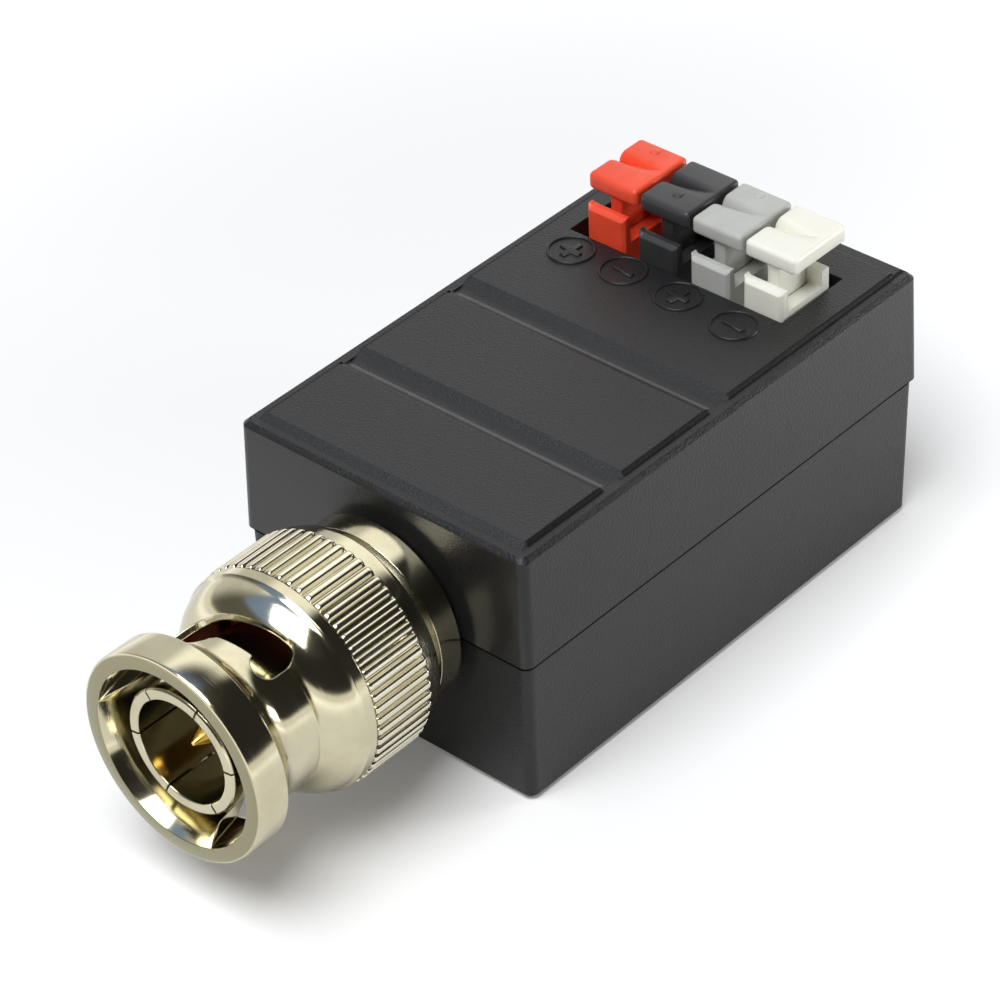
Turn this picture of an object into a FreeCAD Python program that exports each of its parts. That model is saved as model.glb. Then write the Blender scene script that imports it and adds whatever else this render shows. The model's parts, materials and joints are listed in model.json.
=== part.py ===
import FreeCAD, Part
import math
import os

# Video balun: a bayonet coaxial plug, a two-part moulded housing and four push-lever wire clamps.
# Millimetres. X runs across the housing, Y from the plug (-Y) to the wire clamps (+Y), Z up.
# The origin is the centre of the housing's base face. The plug is drawn along its own axis, with Z = 0 at
# the housing's front face and +Z out of the plug, and is then laid along -Y.

V = FreeCAD.Vector

# Housing
HOUSING_WIDTH = 21.6
HOUSING_LENGTH = 35.9
HOUSING_HEIGHT = 17.6
UPPER_SHELL_HEIGHT = 7.8
SEAM_GAP = 0.25
WALL = 1.5
FLOOR = 1.6
DRAFT = 0.15
CORNER_RADIUS = 0.6
BASE_EDGE_BEVEL = 0.35
BEND_CHORDS = 3
TOP_EDGE_CHAMFER = 0.3
LOWER_SHELL_INSET = 0.2
TONGUE_THICKNESS = 0.6
TONGUE_HEIGHT = 1.2
TONGUE_CLEARANCE = 0.1

# Raised panels on the lid, from front to rear
PANEL_RAISE = 0.25
PANEL_SIDE_MARGIN = 1.1
PANEL_END_MARGIN = 1.45
FRONT_PANEL_LENGTH = 6.3
MIDDLE_PANEL_LENGTH = 7.4
PANEL_GAP = 1.9
PANEL_FRONT_BEVEL = 0.55
PANEL_SIDE_BEVEL = 0.15
PANEL_REAR_BEVEL = 0.12
TROUGH_RADIUS = 1.5
TROUGH_DEPTH = 0.12

# Snap tabs of the lower shell, one pair on each side wall
SNAP_WIDTH = 3.0
SNAP_THICKNESS = 0.8
SNAP_BARB = 0.35
SNAP_RISE = 2.8
SNAP_BARB_HEIGHT = 1.0
SNAP_ROOT = 3.6
SNAP_FROM_FRONT = 8.95
SNAP_FROM_REAR = 13.45
SNAP_CLEARANCE = 0.1

# Circuit board and the posts that hold it
BOARD_THICKNESS = 1.0
BOARD_CLEARANCE = 0.3
BOARD_PLATE_GAP = 0.15
POST_SIDE = 2.0
POST_INSET = 2.1
POST_END_INSET = 2.0

# Plug, along its own axis
PLUG_X = 0.5
COLLAR_RADIUS = 5.95
COLLAR_LENGTH = 2.2
COLLAR_ROOT_RADIUS = 5.3
COLLAR_BEVEL = 0.6
NECK_RADIUS = 4.4
NECK_CLEARANCE = 0.05
PLATE_WIDTH = 10.4
PLATE_HEIGHT = 9.6
PLATE_THICKNESS = 1.7
PLATE_CORNER = 1.2
BARREL_RADIUS = 4.22
BARREL_END = 5.0
SPIGOT_RADIUS = 3.6
SPIGOT_LENGTH = 1.55
PRESS_GAP = 0.01
INSULATOR_RADIUS = 3.1
INSULATOR_GAP = 0.05
INSULATOR_END = 9.0
CONTACT_FLANGE_RADIUS = 4.8
CONTACT_FLANGE_THICKNESS = 1.0
CONTACT_RADIUS = 3.97
CONTACT_BORE_RADIUS = 3.26
CONTACT_END = 16.65
SLIT_COUNT = 6
SLIT_WIDTH = 0.35
SLIT_END = 9.5
SLIT_ANGLE = 127.0
PIN_RADIUS = 0.675
PIN_END = 15.7
PIN_TIP_LENGTH = 1.1
PIN_TIP_RADIUS = 0.12
PIN_BORE_GAP = 0.03
PIN_SHANK_RADIUS = 0.45
PIN_TAIL_LENGTH = 4.2
LEG_WIDTH = 1.0
LEG_HEIGHT = 0.9
LEG_LENGTH = 3.1
LEG_SPREAD = 3.2
GASKET_THICKNESS = 1.4
GASKET_SEAT_RADIUS = 4.15
GASKET_CLEARANCE = 0.05

# Coupling sleeve
LIP_THICKNESS = 1.0
LIP_CLEARANCE = 0.07
SLEEVE_BORE_RADIUS = 4.9
REAR_RIM_RADIUS = 6.75
REAR_RIM_BEVEL = 0.55
KNURL_RADIUS = 7.05
KNURL_START = 4.1
KNURL_LENGTH = 4.4
KNURL_COUNT = 48
KNURL_BEVEL = 0.25
BAND_RADIUS = 6.9
BAND_LENGTH = 0.7
SHOULDER_RADIUS = 6.75
SHOULDER_MIDDLE = (6.35, 10.3)
WAIST_RADIUS = 5.3
WAIST_START = 11.3
WAIST_END = 13.3
FLANGE_MIDDLE = (6.0, 14.3)
FLANGE_RADIUS = 6.6
FLANGE_START = 15.2
FLANGE_END = 17.4
FLANGE_EDGE_BEVEL = 0.2
MOUTH_RADIUS = 5.6
MOUTH_DEPTH = 1.6
SLOT_WIDTH = 1.7
SLOT_REACH = 6.05
LOCK_ANGLE = 61.0
LOCK_HEIGHT = 12.25
DWELL_HEIGHT = 11.48
DWELL_RISE = 0.45
DWELL_END_ANGLE = 99.0
CORNER_ANGLE = 130.0
CORNER_RISE = 0.7
ENTRY_END_ANGLE = 172.0
SLOT_STEP = 20.0
THRUST_WASHER_THICKNESS = 0.6
THRUST_WASHER_RADIUS = 5.3
WASHER_CLEARANCE = 0.1
WAVE_WASHER_THICKNESS = 0.25
WAVE_WASHER_GAP = 0.03
WAVE_COUNT = 3

# Wire clamps: four modules side by side
COLOURS = ("red", "black", "grey", "white")
MODULE_PITCH = 3.95
ROW_X = 0.3
MODULE_FROM_REAR = 9.4
TOWER_WIDTH = 2.9
TOWER_DEPTH = 4.5
TOWER_BEVEL = 0.2
FRONT_WALL_THICKNESS = 0.6
FRONT_WALL_HEIGHT = 2.25
REAR_WALL_THICKNESS = 0.7
REAR_WALL_HEIGHT = 1.45
CHANNEL_FLOOR = 0.4
BLOCK_SPACING = 0.2
BLOCK_TOP_GAP = 0.3
BLOCK_FRONT_INSET = 0.35
BLOCK_REAR_GAP = 0.2
NOSE_SPACING = 0.65
NOSE_HEIGHT = 3.4
NOSE_RECESS = 0.4
WINDOW_GAP = 0.15
CHAMBER_WIDTH = 2.7
CHAMBER_FRONT_WALL = 0.6
CHAMBER_REAR_WALL = 1.35
CHAMBER_ROOF = 0.8
WIRE_HOLE_RADIUS = 1.1
WIRE_HOLE_ABOVE_BOARD = 2.1
NOSE_ABOVE_HOLE = 0.3
FUNNEL_REACH = 1.4
FUNNEL_DEPTH = 0.6
OPENING_GAP = 0.1
OPENING_LEFT_GAP = 1.25
RECESS_LENGTH = 1.2
RECESS_DEPTH = 0.8

# Push levers
LEVER_TRAVEL = 1.3
LEVER_CLEARANCE = 0.1
HEAD_SPACING = 0.25
HEAD_LENGTH = 4.95
HEAD_THICKNESS = 1.15
HEAD_CORNER = 0.4
HEAD_EDGE = 0.28
GROOVE_RADIUS = 0.45
GROOVE_DEPTH = 0.6
GROOVE_REACH = 0.72
STEM_WIDTH = 0.9
STEM_CLEARANCE = 0.06
FOOT_WIDTH = 2.0
FOOT_HEIGHT = 0.35
FOOT_CLEARANCE = 0.05

# Clamp springs and contact bars
SPRING_THICKNESS = 0.2
SPRING_WIDTH = 2.3
SPRING_CORNER = 0.4
SPRING_REACH = 0.35
SPRING_WINDOW_WIDTH = 1.5
SPRING_GAP = 0.05
BAR_THICKNESS = 0.3
BAR_WIDTH = 1.9
BAR_TONGUE_WIDTH = 1.2
BAR_END_GAP = 0.1
BAR_ABOVE_HOLE = 0.1
SOLDER_LEG_WIDTH = 0.8
SOLDER_LEG_BELOW = 0.8
BOARD_HOLE_CLEARANCE = 0.08

# Parts on the board
CORE_OUTER_RADIUS = 4.2
CORE_INNER_RADIUS = 2.2
CORE_HEIGHT = 2.6
CORE_FROM_FRONT = 9.4
CORE_LIFT = 0.45
WINDING_THICKNESS = 0.35
WINDING_GAP = 0.03
TURN_COUNT = 6
TURN_STEP = 20.0
ARRESTER_SIZE = (4.6, 2.6, 2.3)
CAPACITOR_SIZE = (4.0, 2.0, 3.4)
CAPACITOR_X = 0.6
RESISTOR_SIZE = (2.0, 1.25, 0.5)
SIDE_PART_INSET = 4.0
ROW_SPACING = 2.7

# Sizes worked out from those above
SEAM_HEIGHT = HOUSING_HEIGHT - UPPER_SHELL_HEIGHT
FRONT_Y = -HOUSING_LENGTH / 2
REAR_Y = HOUSING_LENGTH / 2
CAVITY_X = HOUSING_WIDTH / 2 - WALL
CAVITY_Y = HOUSING_LENGTH / 2 - WALL
CEILING = HOUSING_HEIGHT - FLOOR
LEDGE_HEIGHT = HOUSING_HEIGHT - PANEL_RAISE
UPPER_START = SEAM_HEIGHT + SEAM_GAP / 2
LOWER_END = SEAM_HEIGHT - SEAM_GAP / 2
BOARD_TOP = SEAM_HEIGHT - PIN_SHANK_RADIUS
BOARD_BOTTOM = BOARD_TOP - BOARD_THICKNESS
BOARD_X = CAVITY_X - BOARD_CLEARANCE
BOARD_FRONT = -CAVITY_Y + PLATE_THICKNESS + BOARD_PLATE_GAP
BOARD_REAR = CAVITY_Y - BOARD_CLEARANCE
BORE_RADIUS = INSULATOR_RADIUS + INSULATOR_GAP
FLANGE_TOP = BARREL_END + CONTACT_FLANGE_THICKNESS
LIP_RADIUS = BARREL_RADIUS + LIP_CLEARANCE
SLEEVE_START = COLLAR_LENGTH + THRUST_WASHER_THICKNESS + WASHER_CLEARANCE
LIP_END = SLEEVE_START + LIP_THICKNESS
KNURL_END = KNURL_START + KNURL_LENGTH
PLUG_BACK = -WALL - PLATE_THICKNESS
BLOCK_WIDTH = MODULE_PITCH - BLOCK_SPACING
NOSE_WIDTH = MODULE_PITCH - NOSE_SPACING
HEAD_WIDTH = MODULE_PITCH - HEAD_SPACING
ROW_HALF = (len(COLOURS) - 1) / 2 * MODULE_PITCH
TOWER_FRONT = REAR_Y - MODULE_FROM_REAR
TOWER_REAR = TOWER_FRONT + TOWER_DEPTH
FRONT_WALL_BACK = TOWER_FRONT + FRONT_WALL_THICKNESS
REAR_WALL_FRONT = TOWER_REAR - REAR_WALL_THICKNESS
FRONT_WALL_TOP = HOUSING_HEIGHT + FRONT_WALL_HEIGHT
REAR_WALL_TOP = HOUSING_HEIGHT + REAR_WALL_HEIGHT
CHANNEL_Z = HOUSING_HEIGHT + CHANNEL_FLOOR
BLOCK_FRONT = TOWER_FRONT + BLOCK_FRONT_INSET
BLOCK_REAR = CAVITY_Y - BLOCK_REAR_GAP
BLOCK_TOP = CEILING - BLOCK_TOP_GAP
NOSE_END = REAR_Y - NOSE_RECESS
CHAMBER_FRONT = BLOCK_FRONT + CHAMBER_FRONT_WALL
CHAMBER_REAR = BLOCK_REAR - CHAMBER_REAR_WALL
CHAMBER_TOP = BLOCK_TOP - CHAMBER_ROOF
STEM_FRONT = CHAMBER_FRONT + LEVER_CLEARANCE
STEM_REAR = REAR_WALL_FRONT - 2 * LEVER_CLEARANCE
HEAD_BOTTOM = REAR_WALL_TOP + LEVER_TRAVEL + LEVER_CLEARANCE
HEAD_TOP = HEAD_BOTTOM + HEAD_THICKNESS
HEAD_FRONT = FRONT_WALL_BACK + LEVER_CLEARANCE
FOOT_TOP = CHAMBER_TOP - FOOT_CLEARANCE
FOOT_BOTTOM = FOOT_TOP - FOOT_HEIGHT
SPRING_TOP = FOOT_BOTTOM - SPRING_GAP
WIRE_HOLE_HEIGHT = BOARD_TOP + WIRE_HOLE_ABOVE_BOARD
NOSE_CENTRE = WIRE_HOLE_HEIGHT + NOSE_ABOVE_HOLE
BAR_BOTTOM = WIRE_HOLE_HEIGHT + WIRE_HOLE_RADIUS + BAR_ABOVE_HOLE
BAR_TOP = BAR_BOTTOM + BAR_THICKNESS
MODULES = [(colour, ROW_X - ROW_HALF + i * MODULE_PITCH) for i, colour in enumerate(COLOURS)]


# Shape helpers

def box(x0, x1, y0, y1, z0, z1):
    return Part.makeBox(x1 - x0, y1 - y0, z1 - z0, V(x0, y0, z0))


def cylinder(radius, start, direction, length):
    return Part.makeCylinder(radius, length, V(*start), V(*direction))


def fuse(shapes):
    shapes = list(shapes)
    joined = shapes[0].multiFuse(shapes[1:]) if len(shapes) > 1 else shapes[0]
    return joined.removeSplitter()


def cut(shape, tools):
    tools = list(tools)
    return shape.cut(Part.makeCompound(tools)) if tools else shape


def rounded_rectangle(x0, x1, y0, y1, radius, z=0.0):
    """A closed wire in the plane Z = z, with round corners."""
    k = radius * (1 - math.sqrt(0.5))
    edges = []
    corners = [(x1, y1, -1, -1), (x0, y1, 1, -1), (x0, y0, 1, 1), (x1, y0, -1, 1)]
    ends = []
    for i, (x, y, sx, sy) in enumerate(corners):
        along_x = V(x + sx * radius, y, z)
        along_y = V(x, y + sy * radius, z)
        middle = V(x + sx * k, y + sy * k, z)
        first, last = (along_y, along_x) if i % 2 == 0 else (along_x, along_y)
        ends.append((first, middle, last))
    for i, (first, middle, last) in enumerate(ends):
        edges.append(Part.Arc(first, middle, last).toShape())
        edges.append(Part.makeLine(last, ends[(i + 1) % 4][0]))
    return Part.Wire(edges)


def rectangle(x0, x1, y0, y1, z):
    return Part.makePolygon([V(x0, y0, z), V(x1, y0, z), V(x1, y1, z), V(x0, y1, z), V(x0, y0, z)])


def clipped_rectangle(x0, x1, y0, y1, clip, z):
    """A rectangle with its corners cut off at 45 degrees."""
    points = [(x0 + clip, y0), (x1 - clip, y0), (x1, y0 + clip), (x1, y1 - clip),
              (x1 - clip, y1), (x0 + clip, y1), (x0, y1 - clip), (x0, y0 + clip), (x0 + clip, y0)]
    return Part.makePolygon([V(x, y, z) for x, y in points])


def lofted(wires):
    return Part.makeLoft(wires, True, True)


def profile_wire(outline):
    """A closed wire in the XZ plane from (x, z) points."""
    points = [V(x, 0, z) for x, z in outline]
    return Part.makePolygon(points + points[:1])


def bend(start, middle, end, chords=BEND_CHORDS):
    """The arc from start through middle to end as a few chords, without its start point."""
    arc = Part.Arc(*(V(x, 0, z) for x, z in (start, middle, end)))
    span = arc.LastParameter - arc.FirstParameter
    places = (arc.value(arc.FirstParameter + span * (i + 1) / chords) for i in range(chords))
    return [(p.x, p.z) for p in places]


def turned(outline):
    """A solid of revolution about Z from a closed outline of (radius, height) points."""
    return Part.Face(profile_wire(outline)).revolve(V(0, 0, 0), V(0, 0, 1), 360)


def ring(inner, outer, start, end):
    return turned([(inner, start), (outer, start), (outer, end), (inner, end)])


def spun(shape, angle):
    copy = shape.copy()
    copy.rotate(V(0, 0, 0), V(0, 0, 1), angle)
    return copy


def laid_along_plug(shape):
    """Turns a piece drawn along +Z so that it points out of the housing's front face."""
    copy = shape.copy()
    copy.rotate(V(0, 0, 0), V(1, 0, 0), 90)
    copy.translate(V(PLUG_X, FRONT_Y, SEAM_HEIGHT))
    return copy


def moved(shape, x=0.0, y=0.0, z=0.0):
    copy = shape.copy()
    copy.translate(V(x, y, z))
    return copy


# Housing shells

def housing_outline(inset, z, corner=CORNER_RADIUS):
    x, y = HOUSING_WIDTH / 2 - inset, HOUSING_LENGTH / 2 - inset
    return rounded_rectangle(-x, x, -y, y, corner, z)


def cavity_block(grow, z0, z1):
    x, y = CAVITY_X + grow, CAVITY_Y + grow
    return box(-x, x, -y, y, z0, z1)


def plug_hole():
    radius = NECK_RADIUS + NECK_CLEARANCE
    return cylinder(radius, (PLUG_X, FRONT_Y - WALL, SEAM_HEIGHT), (0, 1, 0), 2 * WALL + LIP_THICKNESS)


def clamp_window():
    """The opening in the rear wall through which the wire clamps' noses show."""
    reach = ROW_HALF + NOSE_WIDTH / 2 + WINDOW_GAP
    bottom = NOSE_CENTRE - NOSE_HEIGHT / 2 - WINDOW_GAP
    top = NOSE_CENTRE + NOSE_HEIGHT / 2 + WINDOW_GAP
    return box(ROW_X - reach, ROW_X + reach, CAVITY_Y - WALL, REAR_Y + WALL, bottom, top)


def posts(low, high):
    """Four square posts that clamp the circuit board between the shells."""
    half = POST_SIDE / 2
    places = [(side * (CAVITY_X - POST_INSET), y) for side in (-1, 1)
              for y in (BOARD_FRONT + POST_END_INSET, BLOCK_FRONT - POST_END_INSET)]
    return [box(x - half, x + half, y - half, y + half, low, high) for x, y in places]


def panel_spans():
    """Where each raised panel's top starts and ends along Y."""
    front = FRONT_Y + PANEL_END_MARGIN
    middle = front + FRONT_PANEL_LENGTH + PANEL_GAP
    rear = middle + MIDDLE_PANEL_LENGTH + PANEL_GAP
    return [(front, front + FRONT_PANEL_LENGTH), (middle, middle + MIDDLE_PANEL_LENGTH),
            (rear, REAR_Y - PANEL_END_MARGIN)]


def raised_panel(start, end):
    x = HOUSING_WIDTH / 2 - PANEL_SIDE_MARGIN
    side = x + PANEL_SIDE_BEVEL
    foot = rectangle(-side, side, start - PANEL_FRONT_BEVEL, end + PANEL_REAR_BEVEL, LEDGE_HEIGHT)
    return lofted([foot, rectangle(-x, x, start, end, HOUSING_HEIGHT)])


def troughs():
    """Shallow hollows between the raised panels."""
    x = HOUSING_WIDTH / 2 - PANEL_SIDE_MARGIN
    height = LEDGE_HEIGHT + TROUGH_RADIUS - TROUGH_DEPTH
    for (_, end), (start, _) in zip(panel_spans(), panel_spans()[1:]):
        y = (end + PANEL_REAR_BEVEL + start - PANEL_FRONT_BEVEL) / 2
        yield cylinder(TROUGH_RADIUS, (-x, y, height), (1, 0, 0), 2 * x)


def snap_tab(side, y):
    inner = CAVITY_X - SNAP_CLEARANCE - SNAP_THICKNESS
    top = SEAM_HEIGHT + SNAP_RISE
    barb_foot = top - SNAP_BARB_HEIGHT
    outer = CAVITY_X - SNAP_CLEARANCE
    outline = [(inner, LOWER_END - SNAP_ROOT), (CAVITY_X + SNAP_CLEARANCE, LOWER_END - SNAP_ROOT),
               (CAVITY_X + SNAP_CLEARANCE, LOWER_END - SNAP_ROOT / 3), (outer, LOWER_END - SNAP_ROOT / 3),
               (outer, barb_foot), (outer + SNAP_BARB, barb_foot), (outer, top), (inner, top)]
    if side < 0:
        outline = [(-x, z) for x, z in outline]
    return moved(Part.Face(profile_wire(outline)).extrude(V(0, SNAP_WIDTH, 0)), y=y - SNAP_WIDTH / 2)


def snap_pocket(side, y):
    reach = CAVITY_X + SNAP_BARB
    top = SEAM_HEIGHT + SNAP_RISE + SNAP_CLEARANCE
    half = SNAP_WIDTH / 2 + 2 * SNAP_CLEARANCE
    x0, x1 = sorted((side * (CAVITY_X - SNAP_CLEARANCE), side * reach))
    return box(x0, x1, y - half, y + half, top - SNAP_BARB_HEIGHT - 2 * SNAP_CLEARANCE, top)


def snap_places():
    return [(side, y) for side in (-1, 1)
            for y in (FRONT_Y + SNAP_FROM_FRONT, REAR_Y - SNAP_FROM_REAR)]


def upper_shell():
    chamfer_foot = LEDGE_HEIGHT - TOP_EDGE_CHAMFER
    lid = lofted([housing_outline(0, UPPER_START), housing_outline(DRAFT, chamfer_foot),
                  housing_outline(DRAFT + TOP_EDGE_CHAMFER, LEDGE_HEIGHT, CORNER_RADIUS * 0.6)])
    shell = fuse([lid] + [raised_panel(*span) for span in panel_spans()])
    reach = ROW_HALF + TOWER_WIDTH / 2
    left, right = ROW_X - reach - OPENING_LEFT_GAP, ROW_X + reach + OPENING_GAP
    opening = box(left, right, TOWER_FRONT - OPENING_GAP, TOWER_REAR + OPENING_GAP,
                  CEILING - FLOOR, HOUSING_HEIGHT + FLOOR)
    recess = box(left, right, TOWER_REAR, TOWER_REAR + RECESS_LENGTH,
                 HOUSING_HEIGHT - RECESS_DEPTH, HOUSING_HEIGHT + FLOOR)
    rabbet = cavity_block(TONGUE_THICKNESS + TONGUE_CLEARANCE, UPPER_START - WALL,
                          SEAM_HEIGHT + TONGUE_HEIGHT + TONGUE_CLEARANCE)
    cavity = cavity_block(0, UPPER_START - WALL, CEILING)
    tools = [opening, recess, rabbet, cavity, plug_hole(), clamp_window(), *troughs()]
    tools += [snap_pocket(*place) for place in snap_places()]
    shell = cut(shell, tools)
    return fuse([shell] + posts(BOARD_TOP, CEILING))


def lower_shell():
    foot_inset = LOWER_SHELL_INSET + DRAFT
    tray = lofted([housing_outline(foot_inset + BASE_EDGE_BEVEL, 0, CORNER_RADIUS / 2),
                   housing_outline(foot_inset, BASE_EDGE_BEVEL),
                   housing_outline(LOWER_SHELL_INSET, LOWER_END)])
    tongue = cavity_block(TONGUE_THICKNESS, LOWER_END - WALL, SEAM_HEIGHT + TONGUE_HEIGHT)
    shell = fuse([tray, tongue])
    shell = cut(shell, [cavity_block(0, FLOOR, HOUSING_HEIGHT), plug_hole(), clamp_window()])
    return fuse([shell] + posts(FLOOR, BOARD_BOTTOM) + [snap_tab(*place) for place in snap_places()])


# Circuit board and the parts on it

def circuit_board():
    board = box(-BOARD_X, BOARD_X, BOARD_FRONT, BOARD_REAR, BOARD_BOTTOM, BOARD_TOP)
    half = SNAP_WIDTH / 2 + 2 * SNAP_CLEARANCE
    inner = CAVITY_X - SNAP_THICKNESS - 3 * SNAP_CLEARANCE
    notches = []
    for side, y in snap_places():
        x0, x1 = sorted((side * inner, side * HOUSING_WIDTH / 2))
        notches.append(box(x0, x1, y - half, y + half, 0, HOUSING_HEIGHT))
    holes = []
    reach = SOLDER_LEG_WIDTH / 2 + BOARD_HOLE_CLEARANCE
    leg_y = CHAMBER_FRONT + BAR_END_GAP
    for _, x in MODULES:
        holes.append(box(x - reach, x + reach, leg_y - BOARD_HOLE_CLEARANCE,
                         leg_y + BAR_THICKNESS + BOARD_HOLE_CLEARANCE, 0, HOUSING_HEIGHT))
    return cut(board, notches + holes)


def core_section():
    """Middle radius, half width and half height of the ring core's section."""
    return ((CORE_OUTER_RADIUS + CORE_INNER_RADIUS) / 2, (CORE_OUTER_RADIUS - CORE_INNER_RADIUS) / 2,
            CORE_HEIGHT / 2)


def on_core(shape):
    """Moves a piece drawn about the ring core's centre to its place above the board."""
    return moved(shape, PLUG_X, BOARD_FRONT + CORE_FROM_FRONT, BOARD_TOP + CORE_LIFT + CORE_HEIGHT / 2)


def transformer_core():
    return on_core(ring(CORE_INNER_RADIUS, CORE_OUTER_RADIUS, -CORE_HEIGHT / 2, CORE_HEIGHT / 2))


def winding(middle_angle):
    """Flat turns round the core's section, spread about one angle."""
    radius, half_width, half_height = core_section()

    def frame(grow, thickness):
        reach, rise = half_width + grow, half_height + grow
        return box(radius - reach, radius + reach, -thickness / 2, thickness / 2, -rise, rise)

    turn = frame(WINDING_GAP + WINDING_THICKNESS, WINDING_THICKNESS)
    turn = turn.cut(frame(WINDING_GAP, 2 * WINDING_THICKNESS))
    start = middle_angle - (TURN_COUNT - 1) / 2 * TURN_STEP
    return on_core(Part.makeCompound([spun(turn, start + i * TURN_STEP) for i in range(TURN_COUNT)]))


def board_row(row):
    """Y of a row of parts, counted from the wire clamps towards the plug."""
    return BLOCK_FRONT - row * ROW_SPACING


def on_board(size, place):
    """A block of the given size that stands on the board."""
    x, y = place
    dx, dy, dz = size
    return box(x - dx / 2, x + dx / 2, y - dy / 2, y + dy / 2, BOARD_TOP, BOARD_TOP + dz)


# Plug

def connector_body():
    outer = turned([
        (BORE_RADIUS, -WALL), (NECK_RADIUS, -WALL), (NECK_RADIUS, 0), (COLLAR_ROOT_RADIUS, 0),
        (COLLAR_RADIUS, COLLAR_BEVEL), (COLLAR_RADIUS, COLLAR_LENGTH), (BARREL_RADIUS, COLLAR_LENGTH),
        (BARREL_RADIUS, BARREL_END), (SPIGOT_RADIUS, BARREL_END),
        (SPIGOT_RADIUS, BARREL_END - SPIGOT_LENGTH), (BORE_RADIUS, BARREL_END - SPIGOT_LENGTH)])
    x, y = PLATE_WIDTH / 2, PLATE_HEIGHT / 2
    plate = Part.Face(clipped_rectangle(-x, x, -y, y, PLATE_CORNER, PLUG_BACK))
    plate = plate.extrude(V(0, 0, PLATE_THICKNESS))
    plate = plate.cut(cylinder(BORE_RADIUS, (0, 0, PLUG_BACK), (0, 0, 1), PLATE_THICKNESS))
    board_top = BOARD_TOP - SEAM_HEIGHT
    board_bottom = BOARD_BOTTOM - SEAM_HEIGHT
    legs = []
    for side in (-1, 1):
        middle = side * LEG_SPREAD
        for low, high in ((board_top, board_top + LEG_HEIGHT), (board_bottom - LEG_HEIGHT, board_bottom)):
            legs.append(box(middle - LEG_WIDTH / 2, middle + LEG_WIDTH / 2, low, high,
                            PLUG_BACK - LEG_LENGTH, PLUG_BACK))
    return fuse([outer, plate] + legs)


def outer_contact():
    spigot = SPIGOT_RADIUS - PRESS_GAP
    seat_end = FLANGE_TOP + GASKET_THICKNESS + GASKET_CLEARANCE
    body = turned([
        (BORE_RADIUS, BARREL_END - SPIGOT_LENGTH), (spigot, BARREL_END - SPIGOT_LENGTH),
        (spigot, BARREL_END), (CONTACT_FLANGE_RADIUS, BARREL_END), (CONTACT_FLANGE_RADIUS, FLANGE_TOP),
        (GASKET_SEAT_RADIUS, FLANGE_TOP), (GASKET_SEAT_RADIUS, seat_end), (CONTACT_RADIUS, seat_end),
        (CONTACT_RADIUS, CONTACT_END), (CONTACT_BORE_RADIUS, CONTACT_END),
        (CONTACT_BORE_RADIUS, INSULATOR_END), (BORE_RADIUS, INSULATOR_END)])
    slit = box(0, CONTACT_RADIUS + SLIT_WIDTH, -SLIT_WIDTH / 2, SLIT_WIDTH / 2,
               SLIT_END, CONTACT_END + SLIT_WIDTH)
    step = 360 / SLIT_COUNT
    return cut(body, [spun(slit, SLIT_ANGLE + i * step) for i in range(SLIT_COUNT)])


def insulator():
    return ring(PIN_SHANK_RADIUS + PIN_BORE_GAP, INSULATOR_RADIUS, PLUG_BACK, INSULATOR_END)


def centre_pin():
    back = PLUG_BACK - PIN_TAIL_LENGTH
    tip = PIN_END - PIN_TIP_LENGTH
    return turned([(0, back), (PIN_SHANK_RADIUS, back), (PIN_SHANK_RADIUS, INSULATOR_END),
                   (PIN_RADIUS, INSULATOR_END), (PIN_RADIUS, tip), (PIN_TIP_RADIUS, PIN_END), (0, PIN_END)])


def gasket():
    return ring(GASKET_SEAT_RADIUS + GASKET_CLEARANCE, SLEEVE_BORE_RADIUS - 3 * GASKET_CLEARANCE,
                FLANGE_TOP, FLANGE_TOP + GASKET_THICKNESS)


def thrust_washer():
    return ring(LIP_RADIUS, THRUST_WASHER_RADIUS, COLLAR_LENGTH, COLLAR_LENGTH + THRUST_WASHER_THICKNESS)


def strip_section(angle, inner, outer, low, high):
    """A rectangle's corners in the half plane at an angle round Z."""
    a = math.radians(angle)
    return [V(radius * math.cos(a), radius * math.sin(a), z)
            for radius, z in ((inner, low), (outer, low), (outer, high), (inner, high))]


def strip_round_axis(sections, closed):
    """A solid of flat faces from one four-cornered section to the next, and back to the first if closed."""
    faces = []
    for here, after in zip(sections, sections[1:] + sections[:1] if closed else sections[1:]):
        for k in range(4):
            a, b, c, d = here[k], here[(k + 1) % 4], after[(k + 1) % 4], after[k]
            faces.append(Part.Face(Part.makePolygon([a, b, c, a])))
            faces.append(Part.Face(Part.makePolygon([a, c, d, a])))
    if not closed:
        faces += [Part.Face(Part.makePolygon(end + end[:1])) for end in (sections[0], sections[-1])]
    strip = Part.Solid(Part.makeShell(faces))
    return strip if strip.Volume > 0 else strip.reversed()


def wave_washer():
    """A ring of spring strip that waves up and down between the sleeve's lip and the contact's flange."""
    swing = (BARREL_END - LIP_END - 2 * WAVE_WASHER_GAP - WAVE_WASHER_THICKNESS) / 2
    bottom = LIP_END + WAVE_WASHER_GAP + swing
    count = 8 * WAVE_COUNT
    sections = []
    for i in range(count):
        low = bottom + swing * math.sin(2 * math.pi * WAVE_COUNT * i / count)
        sections.append(strip_section(360 * i / count, LIP_RADIUS, CONTACT_FLANGE_RADIUS,
                                      low, low + WAVE_WASHER_THICKNESS))
    return strip_round_axis(sections, True)


def knurl_limit(inset, z):
    """A polygon with one flat side over each ridge, to bevel the ridges' ends."""
    radius = (KNURL_RADIUS - inset) / math.cos(math.pi / KNURL_COUNT)
    turns = ((i + 0.5) * 2 * math.pi / KNURL_COUNT for i in range(KNURL_COUNT))
    points = [V(radius * math.cos(a), radius * math.sin(a), z) for a in turns]
    return Part.makePolygon(points + points[:1])


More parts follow.
